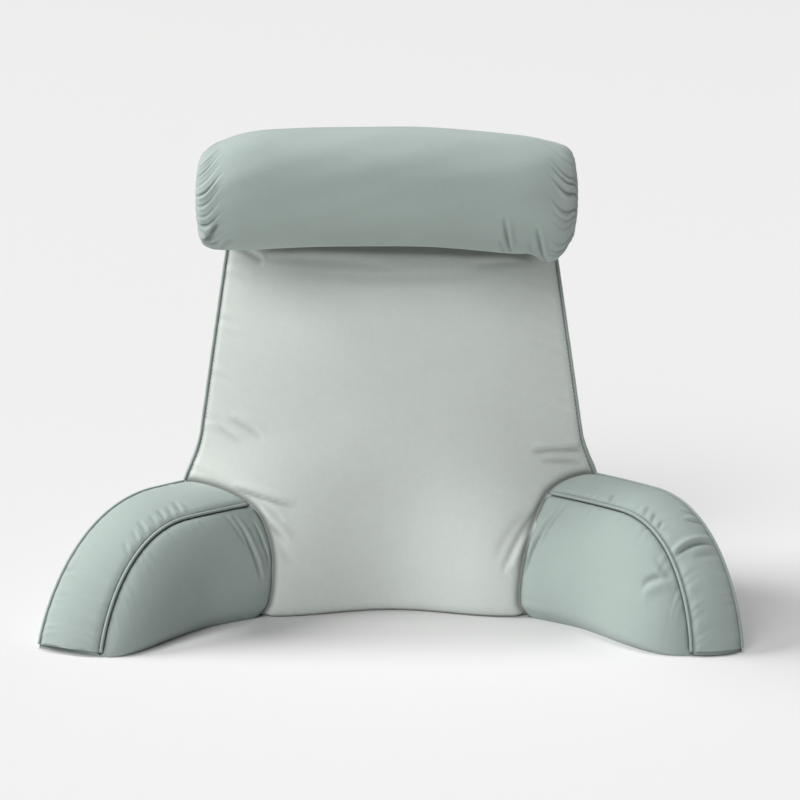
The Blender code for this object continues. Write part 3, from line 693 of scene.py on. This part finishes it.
def arm_band(arm, folds):
    """The cloth over the arm's top: its skin, plus one cloth, plus folds and puckers.

    Its last row is put on the floor, straight on along the last rows' own way."""
    skin = arm_grid(arm, np.linspace(BAND_FROM, BAND_TO, BAND_COLUMNS), ARM_ROWS, CLOTH)
    normals = grid_normals(skin) * arm.side
    walked, across = distance_along(skin, 0), distance_along(skin, 1)
    to_edge = np.minimum(across, across[:, -1:] - across)
    folded = creased(folds, walked, across) * smooth(0.0, 0.006, to_edge)
    lift = CLEARANCE + CLOTH * smooth(-0.004, 0.010, to_edge) + folded
    lift = lift + puckered(to_edge, walked, pitch=0.014, depth=0.0003, reach=0.006, seed=0.9 + arm.side)
    lift = lift - ROOT_PINCH * np.exp(-walked / ROOT_REACH)
    band = skin + np.maximum(lift, -BAND_SUNK)[..., None] * normals
    onward = unit(band[-2:-1] - band[-2 - FOOT_ROWS:-1 - FOOT_ROWS])
    drop = (band[-2:-1, :, 2:] - FOOT_STANDS) / np.maximum(-onward[..., 2:], FOOT_SLOPE)
    on_floor = band[-2:-1] + drop * onward
    on_floor[..., 2] = FOOT_STANDS
    band = np.concatenate([band[:-1], on_floor])
    maps = [corners(np.stack([across, walked], axis=2))]
    # Painted darkness: along its edge seams and its root line, partly darker joints and partly painted shade,
    # and painted shade on the folds' floors.
    painted_darkness = seam_and_shade(to_edge, walked, folded)
    name = arm.name + "_band_cloth"
    return lined(make_piece(name, band, corners(numbered(band)), maps, painted_darkness, mirrored=arm.side < 0.0))


def arm_cords(arm, skin):
    """The piping in the band's two seams, from just off the root to just above the floor."""
    cords = []
    for seam, column in (("outer", OUTER_SEAM), ("inner", INNER_SEAM)):
        way = skin.normals[:, column]
        route = skin.points[:, column] + CORD_STANDS * way
        keep = (route[:, 2] > CORD_RADIUS + CORD_FOOT) & (skin.walked[:, column] > CORD_FROM)
        cords.append(piping(f"{arm.name}_{seam}_cord", route[keep], way[keep]))
    return cords


# %% Both arms

left_cushion, left_skin = arm_cushion(LEFT_ARM, LEFT_FOLDS)
left_band = arm_band(LEFT_ARM, LEFT_BAND_FOLDS)
left_cords = arm_cords(LEFT_ARM, left_skin)
right_cushion, right_skin = arm_cushion(RIGHT_ARM, RIGHT_FOLDS)
right_band = arm_band(RIGHT_ARM, RIGHT_BAND_FOLDS)
right_cords = arm_cords(RIGHT_ARM, right_skin)
for piece in (left_cushion, left_band, right_cushion, right_band):
    print(piece.name, len(piece.data.polygons), "faces")

# %% [markdown]
# ## The front panel
#
# The paler panel is sewn round its edge and stretched over the filling. It could be simulated, but its
# folds are few and known: a drag fold under the roll's left end, faint creases below the roll, two
# strong ones above the right arm, and stress folds where each arm is sewn to it. It is made after the
# arms, because it dips along their root lines. Where the roll rests on it and just below, it is painted
# dark as the roll's shadow, and its seams, root lines and folds are painted darker as elsewhere.

# %% Folds of the front panel

PANEL_CREASES = creases(
    (-206, 450, -164, 431, 3.6, 4.2, 0.9, 0.05),
    (-196, 456, -178, 449, 2, 4, 0.6),
    (-200, 433, 20, 424, 1, 6, 0.6, 0.02),
    (-120, 420, 120, 416, 0.7, 7, 0.5, -0.02),
    (100, 427, 205, 430, 1.1, 6, 0.7, 0.03),
    (-208, 234, -164, 211, 1.6, 4.4, 0.8, 0.04),
    (-225, 226, -190, 202, 1, 4.5, 0.6),
    (180, 196, 256, 191.5, 4, 3.6, 1, 0.02),
    (192, 184, 246, 178, 1.8, 4, 0.8, 0.02),
    (-202, 151, -122, 131, 3, 3, 0.9),
    (-172, 139, -136, 116, 1.4, 2.8),
    (-184, 134, -130, 91, 3, 3.2, 1),
    (-152, 112, -122, 64, 1, 6, 0.7, -0.1),
    (208, 142, 142, 56, 2.8, 3.6, 0.9, -0.09),
    (194, 126, 149, 60, 2.6, 3, 0.9, -0.06),
    (180, 128, 132, 70, 1, 6.5, 0.8, -0.08),
)
ROOT_DENT, DENT_REACH, ROOT_FILL = 0.0036, 0.005, 6
# Where the roll touches the panel, and how far below that line the roll's painted shadow reaches.
TOUCH_X = (-0.160, -0.100, -0.050, 0.000, 0.060, 0.110, 0.150, 0.180)
TOUCH_Z = (0.4465, 0.4490, 0.4485, 0.4470, 0.4455, 0.4425, 0.4405, 0.4355)
ROLL_SHADOW_REACH = 0.0050
print("creases in the front panel:", len(PANEL_CREASES))

# %% Front panel

PANEL_COLUMNS, PANEL_ROWS, ROWS_LEFT_OFF = 216, 208, 3
PANEL_EDGE, PANEL_ROLL = 0.0012, 0.009
PANEL_LOWEST, PANEL_SUNK, PANEL_ROOT_WIDER = 0.001, 0.005, 1.2


def to_root(x, z, skin):
    """Distance from each place on the panel to an arm's root line, filled in finely, from the front."""
    line = skin.points[0, (SECTION >= 1.0) & (SECTION <= 3.0)]
    marks = np.arange(len(line))
    fine = np.linspace(0.0, len(line) - 1.0, ROOT_FILL * len(line))
    line = np.stack([np.interp(fine, marks, line[:, k]) for k in range(3)], axis=1)
    return np.min(np.hypot(x[..., None] - line[:, 0], z[..., None] - line[:, 2]), axis=-1)


def panel_y(x, z):
    """The panel's outer face: the cushion's face, one cloth and a hair in front of it."""
    return front_y(x, z) - CLEARANCE - CLOTH


x, z = outline_grid(PANEL_COLUMNS, PANEL_ROWS)
inset = foot_inset(z)
tucked = x * (1.0 - inset / half_width(z))
panel_base = np.stack([tucked, front_y(x, z) + inset, z], axis=2)
panel_normals = grid_normals(panel_base)
from_edge = edge_distance(x, z)
lift = CLEARANCE + CLOTH * smooth(-0.004, PANEL_ROLL, from_edge)
panel_folded = creased(PANEL_CREASES, x, z) * smooth(0.0, 0.010, from_edge)
lift = lift + panel_folded
lift = lift + puckered(from_edge, z * 1.02 + 0.4 * x, pitch=0.026, depth=0.0005, reach=0.011, seed=0.3)
root_gap = np.minimum(to_root(x, z, left_skin), to_root(x, z, right_skin))
lift = lift - ROOT_DENT * near(root_gap, DENT_REACH)
lift = np.maximum(lift, PANEL_LOWEST - PANEL_SUNK * smooth(0.004, 0.018, from_edge))
panel = (panel_base + lift[..., None] * panel_normals)[ROWS_LEFT_OFF:]
panel[:, [0, -1]] += PANEL_EDGE * unit(panel[:, [1, -2]] - panel[:, [0, -1]])
panel_map = np.stack([x, z], axis=2)[ROWS_LEFT_OFF:]
# Painted shadow of the roll: full above the line where the roll touches, fading a few millimetres below it,
# only between the roll's ends.
touching = np.interp(x, TOUCH_X, TOUCH_Z)
painted_roll_shadow = near(np.clip(touching - z, 0.0, None), ROLL_SHADOW_REACH)
painted_roll_shadow = painted_roll_shadow * smooth(-0.185, -0.150, x) * (1.0 - smooth(0.170, 0.200, x))
panel_seam_shade = np.maximum(seam_and_shade(from_edge, root_gap / PANEL_ROOT_WIDER, panel_folded), painted_roll_shadow)
front_panel_cloth = lined(
    make_piece("front_panel_cloth", panel, corners(numbered(panel)), [corners(panel_map)],
               panel_seam_shade[ROWS_LEFT_OFF:])
)
print("front panel:", len(front_panel_cloth.data.polygons), "faces")

# %% [markdown]
# ## The neck roll
#
# The roll is a turned form: a radius that is full along its middle and falls in a round shoulder to a
# mouth at each end. Pleats run slantwise over the shoulders into the mouth, where the cloth turns in as
# a soft lip round a small crowned disc. Where the roll touches the panel it lies flat against it.

# %% Sizes of the neck roll

ROLL_RADIUS, ROLL_MOUTH, ROLL_HALF = 0.0742, 0.050, 0.228
ROLL_SHOULDER, SHOULDER_POWER = 0.140, 2.5
ROLL_X, ROLL_Y, ROLL_Z = -0.005, 0.053, 0.5360
DROOP_AT, DROOP_LEFT, DROOP_RIGHT = 0.19, 0.005, 0.014
MOUTH_SHIFT_LEFT, MOUTH_SHIFT_RIGHT = -0.009, 0.008
CORNER_SAG, SAG_FROM, SAG_TO, SAG_END = 0.017, 0.175, 0.210, 8.0
ROLL_REST = 0.0006
# The disc's crown and puff, and how dark each mouth is painted: partly a darker seam at the disc's rim,
# partly painted shade where the lip turns in.
DISC_CROWN, DISC_PUFF, MOUTH_SEAM_SHADE = 0.005, 0.0045, 0.35
LIP_OUT, LIP_RISE, LIP_IN, LIP_RINGS = 0.0035, 0.0025, 0.007, 6
ROLL_COLUMNS, ROLL_ROWS, DISC_RINGS = 288, 280, 8
PLEATS_LEFT, PLEATS_RIGHT = 30, 27
PLEAT_DEPTH, PLEAT_WIDTH, PLEAT_FROM, PLEAT_SLANT = 0.0040, 0.030, 0.194, 0.32


# %% Form of the neck roll


def shoulder(x):
    """Share of the roll's shoulder passed along it: zero on the full roll, one at its mouth."""
    return np.clip((np.abs(x) - ROLL_SHOULDER) / (ROLL_HALF - ROLL_SHOULDER), 0.0, 1.0)


def corner_sag(x, turn):
    """How far the filling sags below the roll's right shoulder: most underneath, nothing on top."""
    below = (0.5 - 0.5 * np.sin(turn)) ** 2
    return CORNER_SAG * smooth(SAG_FROM, SAG_TO, x) * (1.0 - shoulder(x) ** SAG_END) * below


def roll_points(x, radius, turn):
    """Points at a radius round the roll's drooping middle, for places along it and angles round it."""
    droop = np.where(x < 0.0, DROOP_LEFT, DROOP_RIGHT)
    shift = np.where(x < 0.0, MOUTH_SHIFT_LEFT, MOUTH_SHIFT_RIGHT)
    axis = ROLL_Z - droop * (x / DROOP_AT) ** 2 + shift * shoulder(x) ** 2
    y = ROLL_Y + BASE_FRONT_Y + radius * np.cos(turn)
    z = axis + radius * np.sin(turn) - corner_sag(x, turn)
    return np.stack(np.broadcast_arrays(x + ROLL_X, y, z), axis=-1)


def pleats(x, turn, count, seed):
    """Pleats drawn into a mouth: for each, a narrow dip and a ridge beside it along a slanting line."""
    drawn = smooth(PLEAT_FROM, ROLL_HALF - 0.004, np.abs(x))
    height = np.zeros(np.broadcast(x, turn).shape)
    for k in range(count):
        wander = 0.32 * sin(12.9898 * (k + 1) * seed)
        strength = 0.65 + 0.35 * sin(4.1 * k * seed + 1.0)
        middle = 2.0 * pi * (k + wander) / count - PLEAT_SLANT * (1.0 - drawn)
        apart = (turn - middle + pi) % (2.0 * pi) - pi
        across = apart / PLEAT_WIDTH
        height = height + strength * (-np.exp(-across ** 2) + 0.7 * np.exp(-((across - 2.1) / 1.5) ** 2))
    return PLEAT_DEPTH * drawn * height


# %% Skin of the neck roll

ROLL_CREASES = creases(
    (155, 94, 143, 22, 3.2, 2.6, 1),
    (147, 96, 139, 56, 1.4, 2.4),
    (163, 96, 156, 62, 1.2, 2.6),
    (198, 100, 184, 34, 3, 2.8, 1),
    (182, 96, 176, 60, 1.2, 2.6),
    (-206, 30, -228, 82, 3.8, 3, 0.9),
    (-190, 60, -208, 94, 1.6, 3.4, 0.8, 0.05),
)

even = np.linspace(-1.0, 1.0, ROLL_ROWS)
x = (ROLL_HALF * np.sign(even) * (1.0 - (1.0 - np.abs(even)) ** 1.7))[:, None]
turn = np.linspace(0.0, 2.0 * pi, ROLL_COLUMNS, endpoint=False)[None, :]
radius = ROLL_MOUTH + (ROLL_RADIUS - ROLL_MOUTH) * (1.0 - shoulder(x) ** SHOULDER_POWER) ** 0.5
arc = ROLL_RADIUS * (turn - pi)
relief = np.where(x < 0.0, pleats(x, turn, PLEATS_LEFT, 1.0), pleats(x, turn, PLEATS_RIGHT, 1.3))
relief = relief + creased(ROLL_CREASES, x + 0.0 * turn, arc + 0.0 * x)
# Painted shade on the floors of the pleats and creases.
pleat_shade = shaded(relief)
relief = relief + 0.0005 * np.sin(9.0 * turn + 14.0 * x) * np.sin(31.0 * x + 2.0 * np.sin(2.0 * turn))
stretched = x + np.sign(x) * LIP_OUT * shoulder(x) ** 8
body_rings = roll_points(stretched, radius + relief, turn)
print("rings along the roll:", len(body_rings))

# %% Neck roll

lip = np.linspace(0.0, 1.0, LIP_RINGS + 1)[1:, None]
inward = np.linspace(1.0, 0.0, DISC_RINGS + 1)[1:-1, None]
caps, cap_shades = [], []
for end, last in ((-1.0, 0), (1.0, -1)):
    turned_in = ROLL_MOUTH - LIP_IN * lip + (1.0 - lip) * relief[last][None, :]
    lip_out = LIP_OUT * (1.0 - lip ** 3) + LIP_RISE * np.sin(pi * lip)
    lip_rings = roll_points(end * (ROLL_HALF + lip_out), turned_in, turn)
    bulge = end * (ROLL_HALF + DISC_CROWN * (1.0 - inward ** 2)) + 0.0 * turn
    caps.append(np.concatenate([lip_rings, roll_points(bulge, (ROLL_MOUTH - LIP_IN) * inward, turn)]))
    # Painted shade: the lip darkens as it turns into the mouth; the disc's rings in the roll get none.
    lip_shade, disc_shade = MOUTH_SEAM_SHADE * near(1.0 - lip, 0.5), 0.0 * inward
    cap_shades.append(np.concatenate([lip_shade, disc_shade]) + 0.0 * turn)
roll = np.concatenate([caps[0][::-1], body_rings, caps[1]])
roll_shade = np.concatenate([cap_shades[0][::-1], pleat_shade, cap_shades[1]])
limit = panel_y(roll[..., 0], roll[..., 2]) - ROLL_REST
roll[..., 1] = np.where(roll[..., 2] < BACK_HEIGHT, np.minimum(roll[..., 1], limit), roll[..., 1])
roll_numbers = numbered(roll, closed=True)
flat_turn = np.linspace(0.0, 2.0 * pi, ROLL_COLUMNS + 1)[None, :] * ROLL_RADIUS
flat = np.stack(np.broadcast_arrays(flat_turn, closed_up(distance_along(roll, 0))), axis=2)
neck_roll = make_piece(
    "neck_roll",
    roll,
    [*corners(roll_numbers), roll_numbers[0, :-1][::-1], roll_numbers[-1, :-1]],
    [corners(flat), flat[0, :-1], flat[-1, :-1]],
    roll_shade,
)
print("neck roll:", len(neck_roll.data.polygons), "faces")


# %% End discs

DISC_MIDDLE, DISC_ROWS, DISC_COLUMNS, DISC_GAP = 0.04, 14, 96, 0.0005


def end_disc(name, end):
    """A crowned disc in a mouth: rings of shrinking radius, each further out by the crown's parabola."""
    inward = np.linspace(1.0, DISC_MIDDLE, DISC_ROWS)[:, None]
    turn = np.linspace(0.0, 2.0 * pi, DISC_COLUMNS, endpoint=False)[None, :]
    edge = ROLL_MOUTH - LIP_IN - DISC_GAP
    ripple = 0.0006 * np.sin(15.0 * turn + 2.0 * np.sin(2.0 * turn)) * smooth(0.4, 1.0, inward)
    crown = DISC_PUFF * (1.0 - inward ** 5) ** 0.6 + 0.0015 * (1.0 - inward ** 2)
    lift = CLOTH + 2.0 * CLEARANCE + crown + ripple
    points = roll_points(end * (ROLL_HALF + lift), edge * inward, turn)
    numbers = numbered(points, closed=True)
    spread = closed_up(np.stack([edge * inward * np.cos(turn), edge * inward * np.sin(turn)], axis=2))
    faces, maps = [*corners(numbers), numbers[-1, :-1]], [corners(spread), spread[-1, :-1]]
    # A line painted darker round the disc's rim: partly a darker seam, partly painted shade by the lip.
    seam = np.broadcast_to(MOUTH_SEAM_SHADE * near((1.0 - inward) * edge, SEAM_LINE), points.shape[:2])
    return lined(make_piece(name, points, faces, maps, seam, mirrored=end < 0.0))


left_disc = end_disc("roll_disc_left", -1.0)
right_disc = end_disc("roll_disc_right", 1.0)
print("discs:", len(left_disc.data.polygons), "faces each")

# %% [markdown]
# ## Shader maths
#
# A cloth's finish is sums and products of patterns. Node by node they are slow to read, so one small
# class stands for a socket: Python's operators add Math nodes, and one method adds any other node.

# %% Socket class


class Socket:
    """An output of a node. Plus, minus and times work on it, from either side."""

    def __init__(self, tree, output=None):
        self.tree, self.output = tree, output

    def node(self, kind, settings=None, sockets=None, give=0):
        """Adds a node, its settings first, then its sockets' values or links, and gives one output."""
        made = self.tree.nodes.new("ShaderNode" + kind)
        for name, value in (settings or {}).items():
            setattr(made, name, value)
        for name, value in (sockets or {}).items():
            place = self.find(made.inputs, name)
            if isinstance(value, Socket):
                self.tree.links.new(value.output, place)
            else:
                place.default_value = value
        return Socket(self.tree, self.find(made.outputs, give))

    @staticmethod
    def find(sockets, name):
        """A socket by its identifier, or else by its number or its name."""
        for socket in sockets:
            if socket.identifier == name:
                return socket
        return sockets[name]

    def math(self, operation, *values):
        """A Math node's output for these values."""
        return self.node("Math", {"operation": operation}, dict(enumerate(values)))

    def __add__(self, other):
        return self.math("ADD", self, other)

    def __sub__(self, other):
        return self.math("SUBTRACT", self, other)

    def __rsub__(self, other):
        return self.math("SUBTRACT", other, self)

    def __mul__(self, other):
        return self.math("MULTIPLY", self, other)

    __radd__, __rmul__ = __add__, __mul__

    def mixed(self, first, second):
        """The colour between two colours, at this socket's value."""
        sockets = {"Factor_Float": self, "A_Color": first, "B_Color": second}
        return self.node("Mix", {"data_type": "RGBA"}, sockets, give="Result_Color")


# %% [markdown]
# ## Brushed cloth
#
# The cover is a matt brushed cloth. Close up it has a fine weave under a short nap; from further off the
# nap lies this way and that in soft patches. It is painted darker along its seams, partly as darker joints
# and partly as painted shade, and painted shade darkens its folds, the piping's inner side and the panel
# under the roll. A picture of cloth could be laid on, but sums of noise and sines stay sharp at any distance.

# %% Cloth finish

THREAD = 0.00075
# Shares of the dye: under full painted darkness (darker seams and painted shade), and the darkest and
# lightest nap patches.
SEAM_AND_PAINTED_SHADE, DARK_SHADE, LIGHT_SHADE = 0.30, 0.72, 1.28
PATCH_TONE, NAP_TONE, FLECK_TONE, WEAVE_TONE = 0.30, 0.16, 0.22, 0.015
PATCH_HEIGHT, NAP_HEIGHT, FLECK_HEIGHT, WEAVE_HEIGHT = 0.0004, 0.00035, 0.00022, 0.00003


def tinted(colour, share):
    """A colour times a share, at most full, and opaque."""
    return tuple(min(1.0, share * value) for value in colour[:3]) + (1.0,)


def brushed_cloth(name, colour, patch_strength=1.0):
    """Colour: the dye, varied by nap patches and flecks, painted darker for seams and shade. Bump: weave plus
    nap, in metres.
    """
    material = bpy.data.materials.new(name)
    material.use_nodes = True
    tree = material.node_tree
    shader = tree.nodes["Principled BSDF"]
    start = Socket(tree)
    place = start.node("TexCoord", give="Object")
    flat = start.node("UVMap", {"uv_map": "cloth"})
    # The seam attribute: painted darkness, partly darker seam lines and partly painted shade.
    seam = start.node("Attribute", {"attribute_name": "seam"}, give="Fac")

    def noise(scale, detail, roughness):
        """Smooth noise in the pillow's own frame."""
        sockets = {"Vector": place, "Scale": scale, "Detail": detail, "Roughness": roughness}
        return start.node("TexNoise", {}, sockets)

    patches, nap, fleck = noise(9.0, 3.0, 0.55), noise(130.0, 4.0, 0.6), noise(1500.0, 2.0, 0.6)
    ways = [start.node("SeparateXYZ", {}, {"Vector": flat}, give=axis) for axis in "XY"]
    warp, weft = (start.math("SINE", way * (2.0 * pi / THREAD)) for way in ways)
    weave = warp * weft
    tone = (patches - 0.5) * (PATCH_TONE * patch_strength) + (nap - 0.5) * NAP_TONE
    tone = tone + (fleck - 0.5) * FLECK_TONE + weave * WEAVE_TONE
    brushed = (tone + 0.5).mixed(tinted(colour, DARK_SHADE), tinted(colour, LIGHT_SHADE))
    # Painted darkness: towards the darkest share of the dye where the seam attribute is full, for darker
    # seams and painted shade.
    shade = (seam * 0.9).mixed(brushed, tinted(colour, SEAM_AND_PAINTED_SHADE))
    rough = 0.86 + (nap - 0.5) * 0.12 + seam * 0.05
    height = weave * WEAVE_HEIGHT + fleck * FLECK_HEIGHT + nap * NAP_HEIGHT + patches * PATCH_HEIGHT
    bump = start.node("Bump", {}, {"Height": height, "Strength": 0.85, "Distance": 1.0})
    for name, link in (("Base Color", shade), ("Roughness", rough), ("Normal", bump)):
        tree.links.new(link.output, shader.inputs[name])
    for name, value in (("Sheen Weight", 0.25), ("Sheen Roughness", 0.45), ("Specular IOR Level", 0.25)):
        shader.inputs[name].default_value = value
    return material


SAGE = (0.336, 0.396, 0.372, 1.0)
SILVER_SAGE = (0.592, 0.632, 0.598, 1.0)
sage_cloth = brushed_cloth("sage_brushed_cloth", SAGE)
silver_cloth = brushed_cloth("silver_sage_brushed_cloth", SILVER_SAGE, 0.8)
print("finishes:", sage_cloth.name, "and", silver_cloth.name)

# %% [markdown]
# ## What each piece stands for
#
# Every cloth piece takes the place of its plain solid and rides on the one body.

# %% Hand over the pieces

pieces = {
    backrest_cushion: "backrest",
    panel_cord: "front_panel_piping",
    left_cushion: "arm_left",
    left_cords[0]: "arm_left_outer_piping",
    left_cords[1]: "arm_left_inner_piping",
    right_cushion: "arm_right",
    right_cords[0]: "arm_right_outer_piping",
    right_cords[1]: "arm_right_inner_piping",
    neck_roll: "bolster",
    left_band: "arm_left_band",
    right_band: "arm_right_band",
    left_disc: "bolster_end_left",
    right_disc: "bolster_end_right",
    front_panel_cloth: "front_panel",
}
for piece, node in pieces.items():
    pale = node == "front_panel"
    piece.data.materials.append(silver_cloth if pale else sage_cloth)
    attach(piece, "root")
    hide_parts(node)


def cloth_points(piece, rows):
    """The grid that a sheet was made from, read back from its own mesh."""
    flat = np.empty(len(piece.data.vertices) * 3)
    piece.data.vertices.foreach_get("co", flat)
    return flat.reshape(rows, -1, 3)


for band, cushion in ((left_band, left_cushion), (right_band, right_cushion)):
    grid = cloth_points(band, ARM_ROWS)

# %% [markdown]
# ## Floor, light and camera
#
# A plain pale floor reaches far enough to fill the picture. Four soft suns could be one lamp and its
# reflectors: a broad key from the left models the cushions, two weaker ones from the front left open
# their shadows, and one from above and behind lights the tops. A faint sky does the rest. The camera is
# placed from the sizes of the roll and the arms: 13 degrees above level, 2.35 m away.

# %% Floor

FLOOR_REACH = 150.0
floor_x, floor_y = np.meshgrid([-FLOOR_REACH, FLOOR_REACH], [-FLOOR_REACH, FLOOR_REACH])
floor_grid = np.stack([floor_x, floor_y, 0.0 * floor_x], axis=2)
floor = make_piece("floor", floor_grid, corners(numbered(floor_grid)), [corners(floor_grid[..., :2])])
floor_paint = bpy.data.materials.new("pale_floor")
floor_paint.use_nodes = True
floor_shader = floor_paint.node_tree.nodes["Principled BSDF"]
floor_shader.inputs["Base Color"].default_value = (0.65, 0.65, 0.647, 1.0)
floor_shader.inputs["Roughness"].default_value = 0.9
floor.data.materials.append(floor_paint)
floor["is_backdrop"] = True

# %% Light


def soft_sun(name, azimuth, elevation, strength, softness):
    """A sun at a bearing and height above the floor, in degrees, shining at the pillow."""
    light = bpy.data.lights.new(name, "SUN")
    light.energy = strength
    light.angle = radians(softness)
    lamp = bpy.data.objects.new(name, light)
    lamp.rotation_euler = (radians(90.0 - elevation), 0.0, radians(azimuth))
    bpy.context.scene.collection.objects.link(lamp)


soft_sun("key_left", -100.0, 35.0, 3.05, 30.0)
soft_sun("fill_front", -20.0, 35.0, 0.95, 40.0)
soft_sun("fill_front_left", -42.0, 38.0, 0.85, 30.0)
soft_sun("above_behind", -165.0, 76.0, 1.35, 12.0)
world = bpy.data.worlds.new("pale_studio")
world.use_nodes = True
sky = world.node_tree.nodes["Background"].inputs
sky["Color"].default_value = (0.97, 0.98, 1.0, 1.0)
sky["Strength"].default_value = 0.03
bpy.context.scene.world = world
bpy.context.scene.view_settings.view_transform = "Standard"

# %% Camera

CAMERA_RISE = radians(13.0)
CAMERA_AWAY = 2.35
METRES_A_PIXEL = 0.00127
IMAGE_WIDTH = 800
SENSOR = 36.0
AIM_X, AIM_BEHIND, AIM_Z = 0.0115, 0.03, 0.26775
target = np.array([AIM_X, AIM_BEHIND + BASE_FRONT_Y, AIM_Z])
stand = target + CAMERA_AWAY * np.array([0.0, -cos(CAMERA_RISE), sin(CAMERA_RISE)])
lens = bpy.data.cameras.new("camera")
lens.sensor_width = SENSOR
lens.lens = SENSOR * CAMERA_AWAY / (METRES_A_PIXEL * IMAGE_WIDTH)
camera = bpy.data.objects.new("camera", lens)
camera.location = stand
camera.rotation_euler = (pi / 2.0 - CAMERA_RISE, 0.0, 0.0)
bpy.context.scene.collection.objects.link(camera)
bpy.context.scene.camera = camera
print("camera at", np.round(stand, 3), "lens", round(lens.lens, 2), "mm")

# %% [markdown]
# ## Sizes, and the end
#
# The dressed pillow must keep the size of its solids.

# %% Sizes
visual_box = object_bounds()
growth = 1000.0 * (np.array(visual_box) - np.array(cad_box)).ravel()
print("box grown by, in mm:", np.round(growth, 1))
